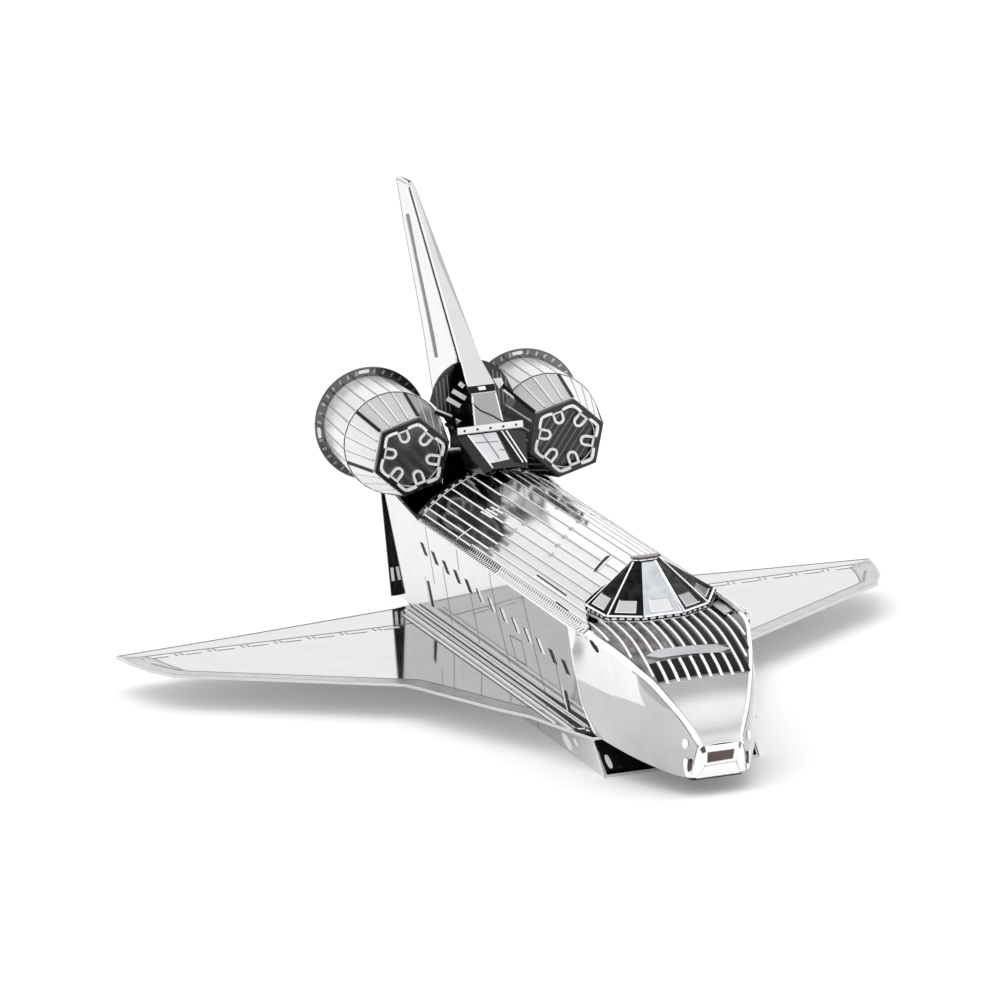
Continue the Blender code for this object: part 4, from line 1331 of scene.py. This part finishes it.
# Dome and neck between the pods: painted reflections and folded edges on the dome wall and on the ramp below
# it, and a plate that leans back behind the ramp and mirrors the pale room
neck = {
    "dome": 42.2, "ramp": ((0, 33.4, 11.21), (1, 0, 0), (0, 3.55, 2.07)),
    "leant": ((0, 41.5, 9.2), (1, 0, 0), (0, 0.25, 1)), "holes": ((0, 37.09, 13.3), (1, 0, 0), (0, 0, 1)),
    "slats": (1.7, 2.0, 2.3, 2.6), "slatTop": 17.6, "slatFoot": 14.3, "slatBow": (0.28, 1.6),
    "domeWhite": [("bars", [(-2.73, 14.55, -1.6, 13.93), (-1.34, 13.66, -0.33, 13.05),
                            (2.37, 15.37, 3.54, 14.23)], 0.15, 0.06),
                  ("plates", (1.65, 16.28, 2.28, 16.29, 2.42, 15.86, 2.05, 15.49), 0.06),
                  ("bars", [(-1.85, 15.25, -0.93, 14.57), (-1.4, 15.76, -0.48, 15.08),
                            (-0.86, 16.26, -0.55, 15.95)], 0.33, 0.05)],
    "domeBlack": [("bars", [(-2.8, 14.4, -0.36, 12.86), (2.17, 15.89, 4.3, 13.5)], 0.3, 0.03)],
    "back": [("plates", (-2.9, 0.0, -1.0, 0.0, -1.0, 2.35, -2.3, 2.5), 0.03)],
    "panel": [("plates", (-1.70, 0.97, 0.3, 0.97, 0.5, 0.2, -1.0, 0.15), 0.03)],
    "creases": [("bars", [(-1.5, 0.75, 0.2, 0.72), (-0.7, 0.97, -0.2, 0.25), (0.1, 0.5, 0.4, 0.45)],
                 0.09, 0.045)],
    "rampBlack": [("plates", (0.42, 0.98, 0.68, 0.98, 1.25, 0.1, 0.75, 0.1), 0.03)],
    "rampWhite": [("bars", [(0.74, 0.98, 1.34, 0.08), (1.08, 0.98, 1.62, 0.08), (-1.74, 0.98, -0.92, 0.02)],
                   0.09, 0.05)],
    "rim": [("bars", [(-2.38, 0.03, 2.38, 0.03)], 0.05, 0.02)],
}


def makeNeck(n):
    dome, ramp = onCross(n["dome"]), onPlane(*n["ramp"])
    x = np.array(n["slats"])
    lower, power = n["slatBow"]
    x, top = np.append(x, -x), np.tile(n["slatTop"] - lower * x ** power, 2)
    slats = barsOn(dome, beside(x, top, x, n["slatFoot"]), 0.07)
    rim = trimsOn(onPlane(*n["holes"]), n["rim"])
    addTrims("neckPanel", "pale", (ramp, n["panel"]))
    addTrims("neckBack", "mirror", (onPlane(*n["leant"]), n["back"]))
    addTrims("neckGlints", "white", (dome, n["domeWhite"]), (ramp, n["rampWhite"]))
    addTrims("neckBlack", "black", (dome, n["domeBlack"]), (ramp, n["rampBlack"]))
    addPiece("neckLines", joined(slats, trimsOn(ramp, n["creases"]), rim), "grey")


makeNeck(neck)

# Belly: lines and tabs along the tray's sides and floor, a rim painted bright as a highlight round its open
# front, and its mouth painted black as the shade inside
belly = {
    "level": -2.45, "flankX": 5.25, "mouth": ((0, -9.35, -2.1), (1, 0, 0), (0, 2.15, 2.1)),
    "floorLines": [("bars", [(-4.8, y, 4.8, y) for y in (-4.0, 6.0, 16.0, 26.0, 36.0)]
                    + [(x, -9.2, x, 45.4) for x in (-3.4, 0.0, 3.4)], 0.09, 0.015)],
    "floorRim": [("bars", [(-5.1, -9.5, 5.1, -9.5)], 0.12, 0.02)],
    "flankLines": [("bars", [(y, -0.3, y - 0.3, -2.3) for y in (8.0, 16.0, 24.0, 32.0, 40.0)], 0.09, 0.015)],
    "flankWhite": [("bars", [(-7.3, -0.2, -9.5, -2.35)], 0.16, 0.02),
                   ("ovals", [(0.9, -1.55, -1.5, -1.95)], 0.8, 0.03),
                   ("ovals", [(-2.2, -1.2, -3.2, -1.5)], 0.35, 0.03)],
    "liner": [("plates", (-5.03, 0.0, 5.03, 0.0, 5.03, 0.85, -5.03, 0.85), 0.02)],
    "drops": [("ovals", [(-4.75, 0.42, -4.62, 0.06), (4.75, 0.42, 4.62, 0.06)], 0.34, 0.05)],
    "specks": [("ovals", [(-4.2, 0.12, -4.0, 0.04), (-2.7, 0.3, -2.4, 0.26), (3.9, 0.12, 4.1, 0.05)],
                0.12, 0.05)],
}


def makeBelly(b):
    floor, mouth = onDeck(b["level"]), onPlane(*b["mouth"])
    flanks = [(side, onPlane((side * b["flankX"], 0, 0), (0, 1, 0), (0, 0, 1))) for side in (-1, 1)]
    addTrims("bellyLines", "grey", (floor, b["floorLines"], -1),
             *((flank, b["flankLines"], side) for side, flank in flanks))
    addTrims("bellyRims", "white", (floor, b["floorRim"], -1), (mouth, b["drops"]),
             *((flank, b["flankWhite"], side) for side, flank in flanks))
    addTrims("bellyMouth", "black", (mouth, b["liner"]))
    addTrims("bellySpecks", "faint", (mouth, b["specks"]), slot="bright_sheet")


makeBelly(belly)

# Tail: lines on the tail wall, a flange round each bell's throat and hoops along the bells, and the wall's
# visible edge outside the body: a wedge painted dark as shade, with a white slot
tail = {
    "lines": [("line", [(-5.5, 0.5), (5.5, 0.5), (5.6, 7.6), (4.3, 7.8), (-4.3, 7.8), (-5.6, 7.6),
                        (-5.5, 0.5)], 0.1, 0.02),
              ("bars", [(-5.2, 5.2, -2.2, 5.9), (5.2, 5.2, 2.2, 5.9), (0.0, 0.8, 0.0, 3.6)], 0.1, 0.02)],
    "wedge": [("plates", (5.45, 0.2, 5.8, 0.2, 5.86, 7.6, 5.8, 7.6), 0.02)],
    "slot": [("plates", (5.5, 1.25, 5.72, 1.25, 5.74, 2.25, 5.52, 2.25), 0.05)],
    "wall": 48.96, "wallFront": 48.75, "bells": [(-2.6, 3.0), (2.6, 3.0), (0.0, 5.9)], "throatR": 1.35,
    "throat": (0.14, 0.04), "bellStart": 49.0, "bellLong": 4.3, "bellR": (0.88, 0.98, 0.6),
    "hoopAt": (0.3, 0.62, 0.97), "hoop": (0.12, 0.05, 0.02),
}


# a hoop lies round a point of the tail at a radius and a station; its bar faces back, or out from the bell
def hoopBody(x, y, z, r, size, facesBack=False):
    a = np.linspace(0, 2 * math.pi, 49)
    out = beside(np.cos(a), 0, np.sin(a))[None]
    normals = np.broadcast_to((0.0, 1.0, 0.0), out.shape) if facesBack else out
    return barBody(out * r + (x, y, z), normals, *size)


def makeTail(t):
    addTrims("tailLines", "faint", (onCross(t["wall"]), t["lines"], -1))
    start, swell, power = t["bellR"]
    hoops = []
    for x, z in t["bells"]:
        hoops.append(hoopBody(x, t["wall"], z, t["throatR"], t["throat"], True))
        hoops += [hoopBody(x, t["bellStart"] + t["bellLong"] * at, z, start + swell * at ** power, t["hoop"])
                  for at in t["hoopAt"]]
    addPiece("bellRings", joined(*hoops), "satin")
    for name, part, finish in (("tailEdges", "wedge", "black"), ("tailSlots", "slot", "white")):
        addTrims(name, finish, *((onCross(t["wallFront"], side), t[part], side) for side in (-1, 1)))


makeTail(tail)
